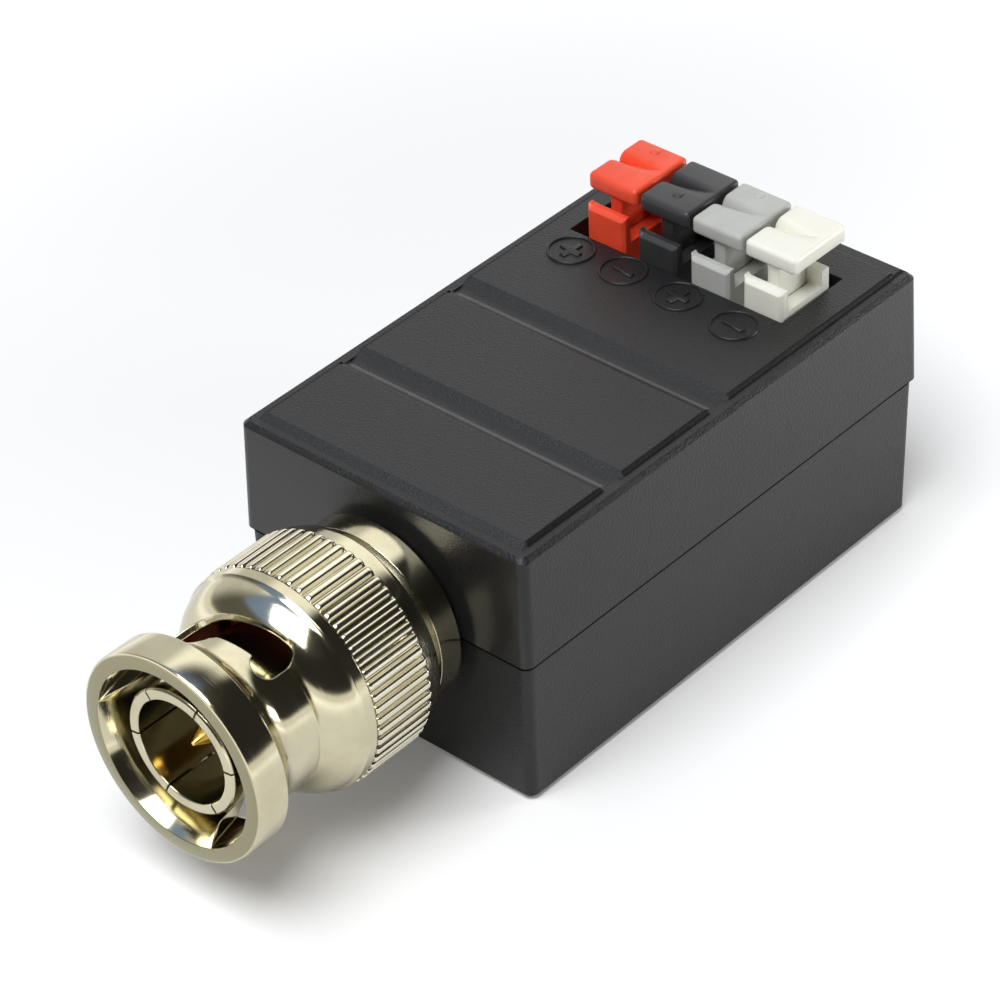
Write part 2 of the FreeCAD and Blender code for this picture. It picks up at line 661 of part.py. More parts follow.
def knurl():
    """Straight ridges, drawn as one toothed outline."""
    step = 2 * math.pi / KNURL_COUNT
    root = REAR_RIM_RADIUS
    points = []
    for i in range(KNURL_COUNT):
        for share, radius in ((-0.5, root), (-0.24, KNURL_RADIUS), (0.24, KNURL_RADIUS)):
            a = (i + share) * step
            points.append(V(radius * math.cos(a), radius * math.sin(a), KNURL_START))
    star = Part.Face(Part.makePolygon(points + points[:1])).extrude(V(0, 0, KNURL_LENGTH))
    limits = lofted([knurl_limit(KNURL_BEVEL, KNURL_START), knurl_limit(0, KNURL_START + KNURL_BEVEL),
                     knurl_limit(0, KNURL_END - KNURL_BEVEL), knurl_limit(KNURL_BEVEL, KNURL_END)])
    bore = cylinder(SLEEVE_BORE_RADIUS, (0, 0, KNURL_START), (0, 0, 1), KNURL_LENGTH)
    return star.common(limits).cut(bore)


def bayonet_slot():
    """Cutters for one lug path: the lock, the dwell and the ramp that opens in the sleeve's mouth."""
    inner, outer = SLEEVE_BORE_RADIUS - SLOT_WIDTH / 4, KNURL_RADIUS
    half = SLOT_WIDTH / 2
    dwell_end = DWELL_HEIGHT + DWELL_RISE
    rims = [(LOCK_ANGLE, DWELL_HEIGHT - half, DWELL_HEIGHT + half),
            (DWELL_END_ANGLE, dwell_end - half, dwell_end + half),
            (CORNER_ANGLE, DWELL_HEIGHT + CORNER_RISE - half, FLANGE_END),
            (ENTRY_END_ANGLE, FLANGE_END, FLANGE_END + SLOT_WIDTH)]
    sections = []
    for start, end in zip(rims, rims[1:]):
        count = math.ceil((end[0] - start[0]) / SLOT_STEP)
        for i in range(count + (end is rims[-1])):
            angle, far, near = (a + (b - a) * i / count for a, b in zip(start, end))
            reach = outer if angle <= DWELL_END_ANGLE else SLOT_REACH
            sections.append(strip_section(angle, inner, reach, far, near))
    lock = [cylinder(half, (inner, 0, z), (1, 0, 0), outer - inner) for z in (DWELL_HEIGHT, LOCK_HEIGHT)]
    lock.append(box(inner, outer, -half, half, DWELL_HEIGHT, LOCK_HEIGHT))
    return [strip_round_axis(sections, False)] + [spun(piece, LOCK_ANGLE) for piece in lock]


def coupling_sleeve():
    band_end = KNURL_END + BAND_LENGTH
    shoulder = (SHOULDER_RADIUS, band_end + BAND_RADIUS - SHOULDER_RADIUS)
    waist_start, waist_end = (WAIST_RADIUS, WAIST_START), (WAIST_RADIUS, WAIST_END)
    body = turned([
        (LIP_RADIUS, SLEEVE_START), (REAR_RIM_RADIUS - REAR_RIM_BEVEL, SLEEVE_START),
        (REAR_RIM_RADIUS, SLEEVE_START + REAR_RIM_BEVEL), (REAR_RIM_RADIUS, KNURL_END),
        (BAND_RADIUS, KNURL_END), (BAND_RADIUS, band_end), shoulder,
        *bend(shoulder, SHOULDER_MIDDLE, waist_start), waist_end,
        *bend(waist_end, FLANGE_MIDDLE, (FLANGE_RADIUS, FLANGE_START)),
        (FLANGE_RADIUS, FLANGE_END - FLANGE_EDGE_BEVEL), (FLANGE_RADIUS - FLANGE_EDGE_BEVEL, FLANGE_END),
        (MOUTH_RADIUS, FLANGE_END), (SLEEVE_BORE_RADIUS, FLANGE_END - MOUTH_DEPTH),
        (SLEEVE_BORE_RADIUS, LIP_END), (LIP_RADIUS, LIP_END)])
    slots = [spun(piece, turn) for turn in (0, 180) for piece in bayonet_slot()]
    sleeve = body
    for tool in slots:
        sleeve = sleeve.cut(tool)
    return sleeve.fuse(knurl()).removeSplitter()


# Wire clamps, drawn about X = 0

def square_round_wire(reach, y):
    """A square round the wire hole's axis, for the tapered mouth that leads the wire in."""
    corners = [(-1, -1), (1, -1), (1, 1), (-1, 1), (-1, -1)]
    return Part.makePolygon([V(i * reach, y, WIRE_HOLE_HEIGHT + k * reach) for i, k in corners])


def clamp_base():
    half = TOWER_WIDTH / 2
    tower = box(-half, half, TOWER_FRONT, TOWER_REAR, CHAMBER_TOP, FRONT_WALL_TOP)
    channel = box(-TOWER_WIDTH, TOWER_WIDTH, FRONT_WALL_BACK, REAR_WALL_FRONT, CHANNEL_Z, HEAD_TOP)
    behind = box(-TOWER_WIDTH, TOWER_WIDTH, REAR_WALL_FRONT, REAR_Y, REAR_WALL_TOP, HEAD_TOP)
    tower = cut(tower, [channel, behind])
    outer_edges = [e for e in tower.Edges if e.BoundBox.YMax < TOWER_FRONT + TOWER_BEVEL
                   and e.BoundBox.ZMax > FRONT_WALL_TOP - TOWER_BEVEL]
    tower = tower.makeChamfer(TOWER_BEVEL, outer_edges)
    block = box(-BLOCK_WIDTH / 2, BLOCK_WIDTH / 2, BLOCK_FRONT, BLOCK_REAR, BOARD_TOP, BLOCK_TOP)
    nose = box(-NOSE_WIDTH / 2, NOSE_WIDTH / 2, BLOCK_REAR, NOSE_END,
               NOSE_CENTRE - NOSE_HEIGHT / 2, NOSE_CENTRE + NOSE_HEIGHT / 2)
    base = fuse([tower, block, nose])
    chamber = box(-CHAMBER_WIDTH / 2, CHAMBER_WIDTH / 2, CHAMBER_FRONT, CHAMBER_REAR,
                  BOARD_TOP, CHAMBER_TOP)
    slot_half = STEM_WIDTH / 2 + STEM_CLEARANCE
    stem_slot = box(-slot_half, slot_half, STEM_FRONT - STEM_CLEARANCE, STEM_REAR + STEM_CLEARANCE,
                    CHAMBER_TOP, FRONT_WALL_TOP)
    wire_hole = cylinder(WIRE_HOLE_RADIUS, (0, CHAMBER_REAR, WIRE_HOLE_HEIGHT), (0, 1, 0),
                         NOSE_END - CHAMBER_REAR)
    funnel = lofted([square_round_wire(WIRE_HOLE_RADIUS, NOSE_END - FUNNEL_DEPTH),
                     square_round_wire(FUNNEL_REACH, NOSE_END)])
    return cut(base, [chamber, stem_slot, wire_hole, funnel])


def push_lever():
    half = HEAD_WIDTH / 2
    back = HEAD_FRONT + HEAD_LENGTH
    sections = [(HEAD_EDGE, HEAD_BOTTOM), (0, HEAD_BOTTOM + HEAD_EDGE),
                (0, HEAD_TOP - HEAD_EDGE), (HEAD_EDGE, HEAD_TOP)]
    head = lofted([clipped_rectangle(inset - half, half - inset, HEAD_FRONT + inset, back - inset,
                                     HEAD_CORNER, height) for inset, height in sections])
    reach = GROOVE_REACH * HEAD_WIDTH
    slope = math.atan2(GROOVE_DEPTH, reach)
    middle = HEAD_FRONT + HEAD_LENGTH / 2
    groove = cylinder(GROOVE_RADIUS, (-reach / 2, 0, 0), (1, 0, 0), 2 * reach)
    groove.translate(V(0, 0, GROOVE_RADIUS / math.cos(slope)))
    groove.rotate(V(0, 0, 0), V(0, 1, 0), -math.degrees(slope))
    groove.translate(V(-half, middle, HEAD_TOP - GROOVE_DEPTH))
    head = head.cut(groove)
    stem = box(-STEM_WIDTH / 2, STEM_WIDTH / 2, STEM_FRONT, STEM_REAR, FOOT_BOTTOM, HEAD_BOTTOM + HEAD_EDGE)
    foot = box(-FOOT_WIDTH / 2, FOOT_WIDTH / 2, STEM_FRONT, STEM_REAR, FOOT_BOTTOM, FOOT_TOP)
    return fuse([head, stem, foot])


def clamp_spring():
    """Strip that lies on the contact bar, turns back under the lever's foot and hangs by the wire."""
    half = SPRING_THICKNESS / 2
    low, high = BAR_TOP + half, SPRING_TOP - half
    loop = (high - low) / 2
    front = CHAMBER_FRONT + BAR_END_GAP + half + loop
    rear = CHAMBER_REAR - SPRING_REACH - half
    corner = SPRING_CORNER
    inset = corner * (1 - math.sqrt(0.5))
    tail = WIRE_HOLE_HEIGHT - WIRE_HOLE_RADIUS - SPRING_THICKNESS

    def side(offset):
        """The strip's outline at one side of its middle line."""
        bottom, top, back = low - offset, high + offset, rear + offset
        loop_end = (front, top)
        turn_start, turn_end = (rear - corner, top), (back, high - corner)
        turn_middle = (rear - inset + offset * math.sqrt(0.5), high - inset + offset * math.sqrt(0.5))
        return [(rear - 2 * corner, bottom), (front, bottom),
                *bend((front, bottom), (front - loop - offset, low + loop), loop_end, 2 * BEND_CHORDS),
                turn_start, *bend(turn_start, turn_middle, turn_end, BEND_CHORDS), (back, tail)]

    outline = side(half) + side(-half)[::-1]
    points = [V(-SPRING_WIDTH / 2, y, z) for y, z in outline]
    strip = Part.Face(Part.makePolygon(points + points[:1])).extrude(V(SPRING_WIDTH, 0, 0))
    window = box(-SPRING_WINDOW_WIDTH / 2, SPRING_WINDOW_WIDTH / 2, rear - corner / 2, rear + corner,
                 WIRE_HOLE_HEIGHT - WIRE_HOLE_RADIUS, high - corner)
    return strip.cut(window)


def contact_bar():
    y0 = CHAMBER_FRONT + BAR_END_GAP
    tongue_start = CHAMBER_REAR - SPRING_REACH - 3 * SPRING_CORNER
    bar = box(-BAR_WIDTH / 2, BAR_WIDTH / 2, y0, tongue_start, BAR_BOTTOM, BAR_TOP)
    tongue = box(-BAR_TONGUE_WIDTH / 2, BAR_TONGUE_WIDTH / 2, tongue_start, CHAMBER_REAR - BAR_END_GAP,
                 BAR_BOTTOM, BAR_TOP)
    upright = box(-BAR_WIDTH / 2, BAR_WIDTH / 2, y0, y0 + BAR_THICKNESS, BOARD_TOP, BAR_BOTTOM)
    leg = box(-SOLDER_LEG_WIDTH / 2, SOLDER_LEG_WIDTH / 2, y0, y0 + BAR_THICKNESS,
              BOARD_BOTTOM - SOLDER_LEG_BELOW, BOARD_TOP)
    return fuse([bar, tongue, upright, leg])


def all_pieces():
    side_x = BOARD_X - SIDE_PART_INSET
    pieces = {
        "upper_shell": upper_shell(),
        "lower_shell": lower_shell(),
        "circuit_board": circuit_board(),
        "transformer_core": transformer_core(),
        "primary_winding": winding(0),
        "secondary_winding": winding(180),
        "surge_arrester": on_board(ARRESTER_SIZE, (-side_x, board_row(2))),
        "film_capacitors": Part.makeCompound([on_board(CAPACITOR_SIZE, (CAPACITOR_X, board_row(row)))
                                              for row in (1, 2)]),
        "chip_resistors": Part.makeCompound([on_board(RESISTOR_SIZE, (x, board_row(row))) for x, row in
                                             ((side_x, 1), (side_x, 2), (-side_x, 1))]),
    }
    plug = {"connector_body": connector_body(), "outer_contact": outer_contact(), "insulator": insulator(),
            "centre_pin": centre_pin(), "gasket": gasket(), "thrust_washer": thrust_washer(),
            "wave_washer": wave_washer(), "coupling_sleeve": coupling_sleeve()}
    for name, shape in plug.items():
        pieces[name] = laid_along_plug(shape)
    clamp = {"clamp_base": clamp_base(), "push_lever": push_lever(), "clamp_spring": clamp_spring(),
             "contact_bar": contact_bar()}
    for colour, x in MODULES:
        for name, shape in clamp.items():
            pieces[f"{name}_{colour}"] = moved(shape, x=x)
    return pieces


def main():
    os.makedirs("parts", exist_ok=True)
    for name, shape in all_pieces().items():
        if not shape.isValid():
            print("not valid:", name)
        print(f"{name:24s} solids {len(shape.Solids)}  volume {shape.Volume:8.2f}")
        shape.exportStep(os.path.join("parts", name + ".step"))


main()
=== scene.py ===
import json
import math
import bmesh
import bpy
from mathutils import Matrix, Vector


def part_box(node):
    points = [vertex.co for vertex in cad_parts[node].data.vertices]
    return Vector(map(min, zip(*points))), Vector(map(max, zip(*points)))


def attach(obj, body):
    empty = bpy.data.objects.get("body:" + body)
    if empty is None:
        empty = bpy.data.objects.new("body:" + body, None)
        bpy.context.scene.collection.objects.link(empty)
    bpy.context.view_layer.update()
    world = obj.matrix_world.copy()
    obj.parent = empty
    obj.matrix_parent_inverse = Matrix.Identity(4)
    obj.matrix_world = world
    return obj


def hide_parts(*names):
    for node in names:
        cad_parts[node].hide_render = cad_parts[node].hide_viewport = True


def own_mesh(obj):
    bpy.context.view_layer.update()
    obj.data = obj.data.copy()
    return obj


# Looks of the video balun: finishes for its CAD pieces, finer forms of its plug, levers, clamp bases and
# springs, the marks on its lid, and the floor, light and camera. Lengths below are in millimetres, and are
# written to the scene in metres.

MM = 0.001
COLOURS = ("red", "black", "grey", "white")

# Housing: height of the seam and half its width, Y of the front face, and height where the lid starts
SEAM = 9.8
SEAM_HALF = 0.16
HOUSING_FRONT = -17.95
LID_START = 17.0

# Panels on the lid: front edge, rear edges of the front and middle panels, offset of the painted highlight
# line and gap behind each, and the step along their sides where painted shade goes
PANEL_FRONT = -16.5
PANEL_REARS = (-10.2, -0.9)
PAINTED_HIGHLIGHT_OFFSET = 0.42
PANEL_GAP = 1.9
PANEL_SIDE = 9.8

# Y of the plug's faced front end
PLUG_FRONT = -35.35

# Marks moulded on the lid: place before each clamp, clamps with a plus, and sizes
MARK_PLACES = {"red": (-6.75, 6.72), "black": (-2.89, 6.93), "grey": (1.38, 6.85), "white": (5.80, 6.50)}
PLUS_CLAMPS = ("red", "grey")
MARK_RADIUS = 1.42
MARK_STROKE = 0.19
MARK_HEIGHT = 0.13
SIGN_LENGTH = 1.55
SIGN_WIDTH = 0.42
SIGN_TURN = -7.0

# Push levers: the head's rounded edges, its cross groove as shares of the head's length and width, and the
# rib and foot under it
HEAD_THICKNESS = 1.15
HEAD_ROUNDING = 0.3
HEAD_LEAST_ROUNDING = 0.04
HEAD_OVERLAP = 0.3
GROOVE_DEPTH = 0.85
GROOVE_DEPTH_SHARE = 0.78
GROOVE_START = 0.36
GROOVE_BOTTOM = 0.585
GROOVE_END = 0.68
GROOVE_FULL_WIDTH = 0.14
GROOVE_WIDTH = 0.94
GROOVE_SLOPE = 1.7
RIB_WIDTH = 0.9
RIB_FRONT_INSET = 0.35
RIB_REAR_INSET = 2.05
RIB_FLARE = 0.35
FLARE_STEPS = (0.22, 0.11, 0.04)
RIB_ROUNDING = 0.14
FOOT_WIDTH = 2.0
FOOT_HEIGHT = 0.35
FOOT_ROUNDING = 0.1

# Front walls of the clamp bases: how much lower than the CAD wall, and the small rise at the left end
WALL_DROPS = {"red": 0.08, "black": 0.45, "grey": 0.5, "white": 0.4}
WALL_THICKNESS = 0.6
TOWER_HALF_WIDTH = 1.45
WALL_BEVEL = 0.24
WALL_BEAD = 0.16
WALL_RISE = 0.16

# Pips on the levers: share of the head's length from its front edge, and shift to the right
PIPS = {"red": (0.85, -0.1), "black": (0.28, 0.0), "grey": (0.85, -0.1)}
PIP_RADIUS = 0.36
PIP_HEIGHT = 0.1

# Bayonet coupling. Heights are counted along the plug from the housing's front face.
RIDGE_COUNT = 58
RIDGE_START = 4.1
RIDGE_END = 8.5
RIDGE_BEVEL = 0.18
RIDGE_SQUARENESS = 0.78
RIDGE_HALF_CREST = 0.33
RIM_RADIUS = 6.75
RIM_START = 2.9
RIM_BEVEL = 0.55
BAND_RADIUS = 6.9
BAND_END = 9.2
SHOULDER_MIDDLE = (6.35, 10.3)
WAIST_RADIUS = 5.3
WAIST_HEIGHTS = (11.3, 13.3)
FLANGE_MIDDLE = (5.75, 14.5)
FLANGE_RADIUS = 6.6
FLANGE_START = 15.2
FLANGE_END = 17.4
FLANGE_BEVEL = 0.22
FLANGE_BEVEL_MIDDLE = 0.07
MOUTH_RADIUS = 5.6
MOUTH_DEPTH = 1.6
BORE_RADIUS = 4.9
CHAMBER_RADIUS = 5.75
CHAMBER_END = 10.7
CHAMBER_TAPER = 0.6
LIP_RADIUS = 4.29
LIP_END = 3.9
SLEEVE_COLUMNS = 288

# Lug path from its lock hole to the mouth, at each point its angle round the plug, the height of its rim by
# the knurl and the height of its rim by the mouth, and the degrees to each side that a bend is rounded over
LUG_LOCK = (61.0, 10.63, 12.33)
LUG_DWELL_END = (100.0, 11.08, 12.78)
LUG_RAMP_OPENS = (114.0, 11.2, 17.4)
LUG_RAMP_START = (130.0, 11.38, 18.25)
LUG_ENTRY = (168.0, 17.4, 19.1)
SLOT_RIMS = (LUG_LOCK, LUG_DWELL_END, LUG_RAMP_OPENS, LUG_RAMP_START, LUG_ENTRY)
BEND_SPREAD = 5.0

# Lug path: half the width of its lock hole, heights of the middles of that hole's round ends, and radius
# that the ramp is cut out to
SLOT_HALF_WIDTH = 0.85
LOCK_HEIGHTS = (11.48, 12.25)
SLOT_REACH = 5.58

# Slotted contact and gasket inside the coupling
CONTACT_RADIUS = 3.97
CONTACT_BORE = 3.26
CONTACT_START = 3.45
CONTACT_SHOULDERS = (5.0, 6.0, 7.45)
CONTACT_SHOULDER_RADII = (3.59, 4.8, 4.15)
CONTACT_SEAT_BORE = 3.15
CONTACT_SEAT_END = 9.0
CONTACT_END = 16.65
CONTACT_CHAMFER = 0.12
CONTACT_BORE_CHAMFER = 0.06
SLIT_COUNT = 6
SLIT_WIDTH = 0.13
SLIT_END = 13.2
SLIT_ANGLE = 127.0
GASKET_RADII = (4.2, 5.4)
GASKET_ROUNDING = 0.25

# Camera: turn to the right of the plug, rise and roll in degrees, place along its own axes, film width, and
# focal length as a multiple of that width
CAMERA_TURN = 42.69
CAMERA_RISE = 37.03
CAMERA_ROLL = -2.58
CAMERA_PLACE = (-5.541, 4.873, 243.17)
FILM_WIDTH = 36
FOCAL_WIDTHS = 4.0278

# Floor: half its side, and where it starts and ends to turn to the background's white
FLOOR_HALF = 1600
FLOOR_WHITE = (20, 120)

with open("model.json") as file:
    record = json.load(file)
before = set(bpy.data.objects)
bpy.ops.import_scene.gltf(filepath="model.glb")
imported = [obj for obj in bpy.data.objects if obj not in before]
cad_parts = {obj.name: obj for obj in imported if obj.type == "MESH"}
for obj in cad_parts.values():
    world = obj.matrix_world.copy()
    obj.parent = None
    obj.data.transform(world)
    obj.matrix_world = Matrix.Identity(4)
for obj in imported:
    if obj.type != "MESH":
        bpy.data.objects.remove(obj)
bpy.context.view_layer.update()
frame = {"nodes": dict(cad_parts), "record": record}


# Shader maths

class Value:
    """A socket of a shader's tree, which can be added, subtracted, multiplied and divided by."""

    def __init__(self, shader, socket):
        self.shader = shader
        self.socket = socket

    def maths(self, operation, *others):
        return self.shader.node("ShaderNodeMath", {"operation": operation}, self, *others).out()

    def __add__(self, other):
        return self.maths("ADD", other)

    __radd__ = __add__

    def __mul__(self, other):
        return self.maths("MULTIPLY", other)

    __rmul__ = __mul__

    def __sub__(self, other):
        return self.maths("SUBTRACT", other)

    def __rsub__(self, other):
        return self.shader.node("ShaderNodeMath", {"operation": "SUBTRACT"}, other, self).out()

    def __rtruediv__(self, other):
        return self.shader.node("ShaderNodeMath", {"operation": "DIVIDE"}, other, self).out()

    def absolute(self):
        return self.maths("ABSOLUTE")

    def ramp(self, low, high, start=0.0, end=1.0):
        """Carries low to start and high to end in a smooth step, and holds beyond them."""
        settings = {"interpolation_type": "SMOOTHSTEP", "clamp": True}
        limits = {"From Min": low, "From Max": high, "To Min": start, "To Max": end}
        return self.shader.node("ShaderNodeMapRange", settings, Value=self, **limits).out()


class Made:
    """A node that has just been made, and its outputs."""

    def __init__(self, shader, node):
        self.shader = shader
        self.node = node

    def out(self, name=0):
        return Value(self.shader, self.node.outputs[name])


class Shader:
    """A material's node tree, or another one, filled through a single method."""

    def __init__(self, tree):
        self.tree = tree
        self.tree.nodes.clear()

    def node(self, kind, settings=None, *inputs, **named):
        """A node with its settings, and with inputs given by place or by name."""
        made = self.tree.nodes.new(kind)
        for key, setting in (settings or {}).items():
            setattr(made, key, setting)
        for place, given in [*enumerate(inputs), *named.items()]:
            if isinstance(given, Value):
                self.tree.links.new(given.socket, made.inputs[place])
            elif given is not None:
                made.inputs[place].default_value = given
        return Made(self, made)

    def place(self):
        """The point on the piece, in millimetres."""
        coordinates = self.node("ShaderNodeTexCoord").out("Object")
        return self.node("ShaderNodeVectorMath", {"operation": "SCALE"}, coordinates, Scale=1 / MM).out()

    def parts(self, vector):
        """X, Y and Z of a vector."""
        made = self.node("ShaderNodeSeparateXYZ", None, vector)
        return [made.out(axis) for axis in "XYZ"]

    def point(self, x, y, z):
        """The vector with this X, Y and Z."""
        return self.node("ShaderNodeCombineXYZ", None, x, y, z).out()

    def noise(self, where, size, detail=2.0, roughness=0.5):
        """Soft random values about 0.5, with features of the given size in millimetres."""
        return self.node("ShaderNodeTexNoise", None, Vector=where, Scale=1 / size, Detail=detail,
                         Roughness=roughness).out("Fac")

    def cells(self, where, size):
        """Distance from the middle of the nearest of many scattered cells."""
        return self.node("ShaderNodeTexVoronoi", None, Vector=where, Scale=1 / size).out("Distance")

    def blend(self, share, first, second):
        """A colour between two others."""
        made = self.node("ShaderNodeMix", {"data_type": "RGBA"})
        for index, given in ((0, share), (6, first), (7, second)):
            if isinstance(given, Value):
                self.tree.links.new(given.socket, made.node.inputs[index])
            else:
                made.node.inputs[index].default_value = given if index == 0 else (*given, 1.0)
        return Value(self, made.node.outputs[2])

    def bump(self, height, depth, normal=None):
        """A normal raised by height times depth, in millimetres."""
        return self.node("ShaderNodeBump", None, Strength=1.0, Distance=depth * MM, Height=height,
                         Normal=normal).out()

    def eased(self, radius):
        """The normal of the piece with its edges rounded off."""
        return self.node("ShaderNodeBevel", {"samples": 6}, Radius=radius * MM).out()

    def surface(self, painted_crease_shade=None, **sockets):
        """The finished skin, which turns to unlit black where painted shade is given."""
        named = {name.replace("_", " "): given for name, given in sockets.items()}
        skin = self.node("ShaderNodeBsdfPrincipled", None, **named).out()
        if painted_crease_shade is not None:
            shade = self.node("ShaderNodeBsdfPrincipled", None, Roughness=1.0,
                              **{"Base Color": (0.003, 0.003, 0.003, 1.0), "Specular IOR Level": 0.0})
            skin = self.node("ShaderNodeMixShader", None, painted_crease_shade, skin, shade.out()).out()
        self.node("ShaderNodeOutputMaterial", None, Surface=skin)


# Finishes

FINISHES = {}


def material(name):
    """The shader of a new material, which is entered among the finishes."""
    made = bpy.data.materials.new(name)
    made.use_nodes = True
    FINISHES[name] = made
    return Shader(made.node_tree)


def housing_finish(name, grain_depth):
    """Matt black moulding: spark grain on the lid and sides, a smoother and glossier front face."""
    s = material(name)
    where = s.place()
    x, y, z = s.parts(where)
    nose = y.ramp(HOUSING_FRONT + 0.05, HOUSING_FRONT + 0.25, 1.0, 0.0)
    grain = s.noise(where, 0.1, 3.0, 0.65)
    speckle = s.cells(where, 0.14)
    cloud = s.noise(where, 5.0, 3.0)
    # Painted shade: the skin turns to unlit black along the shell seam
    seam = (z - SEAM).absolute().ramp(SEAM_HALF + 0.05, SEAM_HALF)
    height = (grain * 0.8 + speckle * 0.6) * (1 - nose * 0.85)
    normal = s.bump(height, grain_depth, s.eased(0.12))
    dust = s.noise(where, 0.3, 4.0, 0.75).ramp(0.6, 0.74)
    lid = z.ramp(LID_START, LID_START + 0.1)
    # Painted highlight: a lighter line on the lid just behind each panel's rear edge
    painted_highlight, gap = 0, 0
    for rear in PANEL_REARS:
        painted_highlight = painted_highlight + (y - rear - PAINTED_HIGHLIGHT_OFFSET).absolute().ramp(0.2, 0.08)
        gap = gap + (y - rear - PANEL_GAP / 2).absolute().ramp(PANEL_GAP / 2, PANEL_GAP / 2 - 0.2)
    painted_highlight = painted_highlight * lid * x.absolute().ramp(PANEL_SIDE - 0.2, PANEL_SIDE - 0.5)
    # Painted shade also along the step at the panels' sides, in front of the gaps
    border = (x.absolute() - PANEL_SIDE).absolute().ramp(0.22, 0.1) * lid
    border = border * y.ramp(PANEL_FRONT - 0.1, PANEL_FRONT + 0.1) * (1 - gap)
    painted_crease_shade = (seam * 0.85).maths("MAXIMUM", border * 0.7)
    tone = s.blend(cloud * 0.4 + dust * 0.3, (0.0085, 0.0085, 0.009), (0.021, 0.021, 0.0215))
    # The painted highlight lightens the lid's tone along those lines
    tone = s.blend(painted_highlight * (0.3 + grain * 0.7), tone, (0.1, 0.1, 0.101))
    rough = 0.39 + (cloud - 0.5) * 0.1 + dust * 0.1 - nose * 0.1
    s.surface(painted_crease_shade, Base_Color=tone, Roughness=rough, Normal=normal, IOR=1.4, Coat_Weight=nose * 0.2,
              Coat_Roughness=0.15)


def nickel_finish(name, tint, shade, rough, edge, turning):
    """Nickel plate with a warm cast, turning marks, wipe marks and a darker, browner tone on the plug's
    faced front end.
    """
    s = material(name)
    where = s.place()
    x, y, z = s.parts(where)
    rings = s.noise(s.point(x * 0.02, y, z * 0.02), 0.05, 2.0)
    haze = s.noise(where, 2.2, 3.0, 0.6)
    specks = s.cells(where, 0.5).ramp(0.1, 0.02)
    scratches = s.noise(s.point(x * 0.15, y * 2.5, z * 0.15), 0.35, 3.0, 0.7).ramp(0.58, 0.7)
    marks = rings * turning + haze * 0.6 + scratches * 0.3
    normal = s.bump(marks, 0.0035, s.eased(edge) if edge else None)
    tone = s.blend(haze.ramp(0.35, 0.7) * 0.7 + specks * 0.2, tint, shade)
    # Darker, browner tone on the plug's faced front end
    faced = y.ramp(PLUG_FRONT + 0.05, PLUG_FRONT + 0.01)
    tone = s.blend(faced, tone, (0.29, 0.27, 0.17))
    rough = rough + (haze - 0.5) * 0.08 + specks * 0.12 + scratches * 0.04
    s.surface(Base_Color=tone, Metallic=1.0, Roughness=rough, Normal=normal)


def gold_finish():
    """Gold plate with fine turning marks."""
    s = material("gold_plate")
    where = s.place()
    x, y, z = s.parts(where)
    turning = s.noise(s.point(x * 0.02, y, z * 0.02), 0.06, 2.0)
    haze = s.noise(where, 0.8, 2.0)
    tone = s.blend(haze, (0.95, 0.66, 0.20), (0.86, 0.55, 0.14))
    s.surface(Base_Color=tone, Metallic=1.0, Roughness=0.16 + haze * 0.1, Normal=s.bump(turning, 0.004))


def lever_finish(name, tone, deep, rough, milky=0.0):
    """Moulded clamp plastic: faint flow lines, fine grain and edges that are softly rounded."""
    s = material(name)
    where = s.place()
    x, y, z = s.parts(where)
    flow = s.noise(s.point(x, y * 0.4, z), 1.4, 3.0)
    grain = s.noise(where, 0.09, 2.0)
    scuffs = s.noise(s.point(x * 0.5, y * 2.0, z), 0.4, 4.0, 0.7).ramp(0.6, 0.75)
    normal = s.bump(grain * 0.35 + flow * 0.5, 0.007, s.eased(0.14))
    colour = s.blend(flow.ramp(0.3, 0.75) * 0.6, tone, deep)
    rough = rough + (flow - 0.5) * 0.1 + scuffs * 0.1
    reach = (1.2 * MM, 0.9 * MM, 0.7 * MM)
    s.surface(Base_Color=colour, Roughness=rough, Normal=normal, IOR=1.5, Subsurface_Weight=milky,
              Subsurface_Radius=reach, Subsurface_Scale=1.0)


def plain_finish(name, tone, deep, rough, size=0.5, depth=0.01, metallic=0.0):
    """A plain inner material with a mottled tone and a slightly uneven skin."""
    s = material(name)
    where = s.place()
    mottle = s.noise(where, size, 4.0, 0.6)
    s.surface(Base_Color=s.blend(mottle.ramp(0.3, 0.7), tone, deep), Metallic=metallic,
              Roughness=rough + (mottle - 0.5) * 0.15, Normal=s.bump(mottle, depth))


def board_finish():
    """Green solder resist over faint copper tracks."""
    s = material("board_laminate")
    where = s.place()
    x, y = s.parts(where)[:2]
    tracks = ((x * 1.1).maths("SINE") * (y * 0.9).maths("SINE")).ramp(0.35, 0.42)
    weave = s.noise(where, 0.3, 2.0)
    tone = s.blend(tracks * 0.8, (0.012, 0.09, 0.035), (0.03, 0.17, 0.06))
    normal = s.bump(tracks * 0.8 + weave * 0.2, 0.02)
    s.surface(Base_Color=tone, Roughness=0.3 + weave * 0.1, Normal=normal)


def chip_finish():
    """Chip resistors: dark tops with tinned ends."""
    s = material("resistor_ceramic")
    where = s.place()
    x = s.parts(where)[0]
    centre = (x.absolute() - (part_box("chip_resistors")[1].x / MM - 1.0)).absolute()
    ends = centre.ramp(0.66, 0.72)
    grit = s.noise(where, 0.15, 3.0)
    tone = s.blend(ends, (0.03, 0.03, 0.032), (0.62, 0.61, 0.58))
    rough = 0.5 - ends * 0.15 + grit * 0.1
    s.surface(Base_Color=tone, Metallic=ends, Roughness=rough, Normal=s.bump(grit, 0.01))


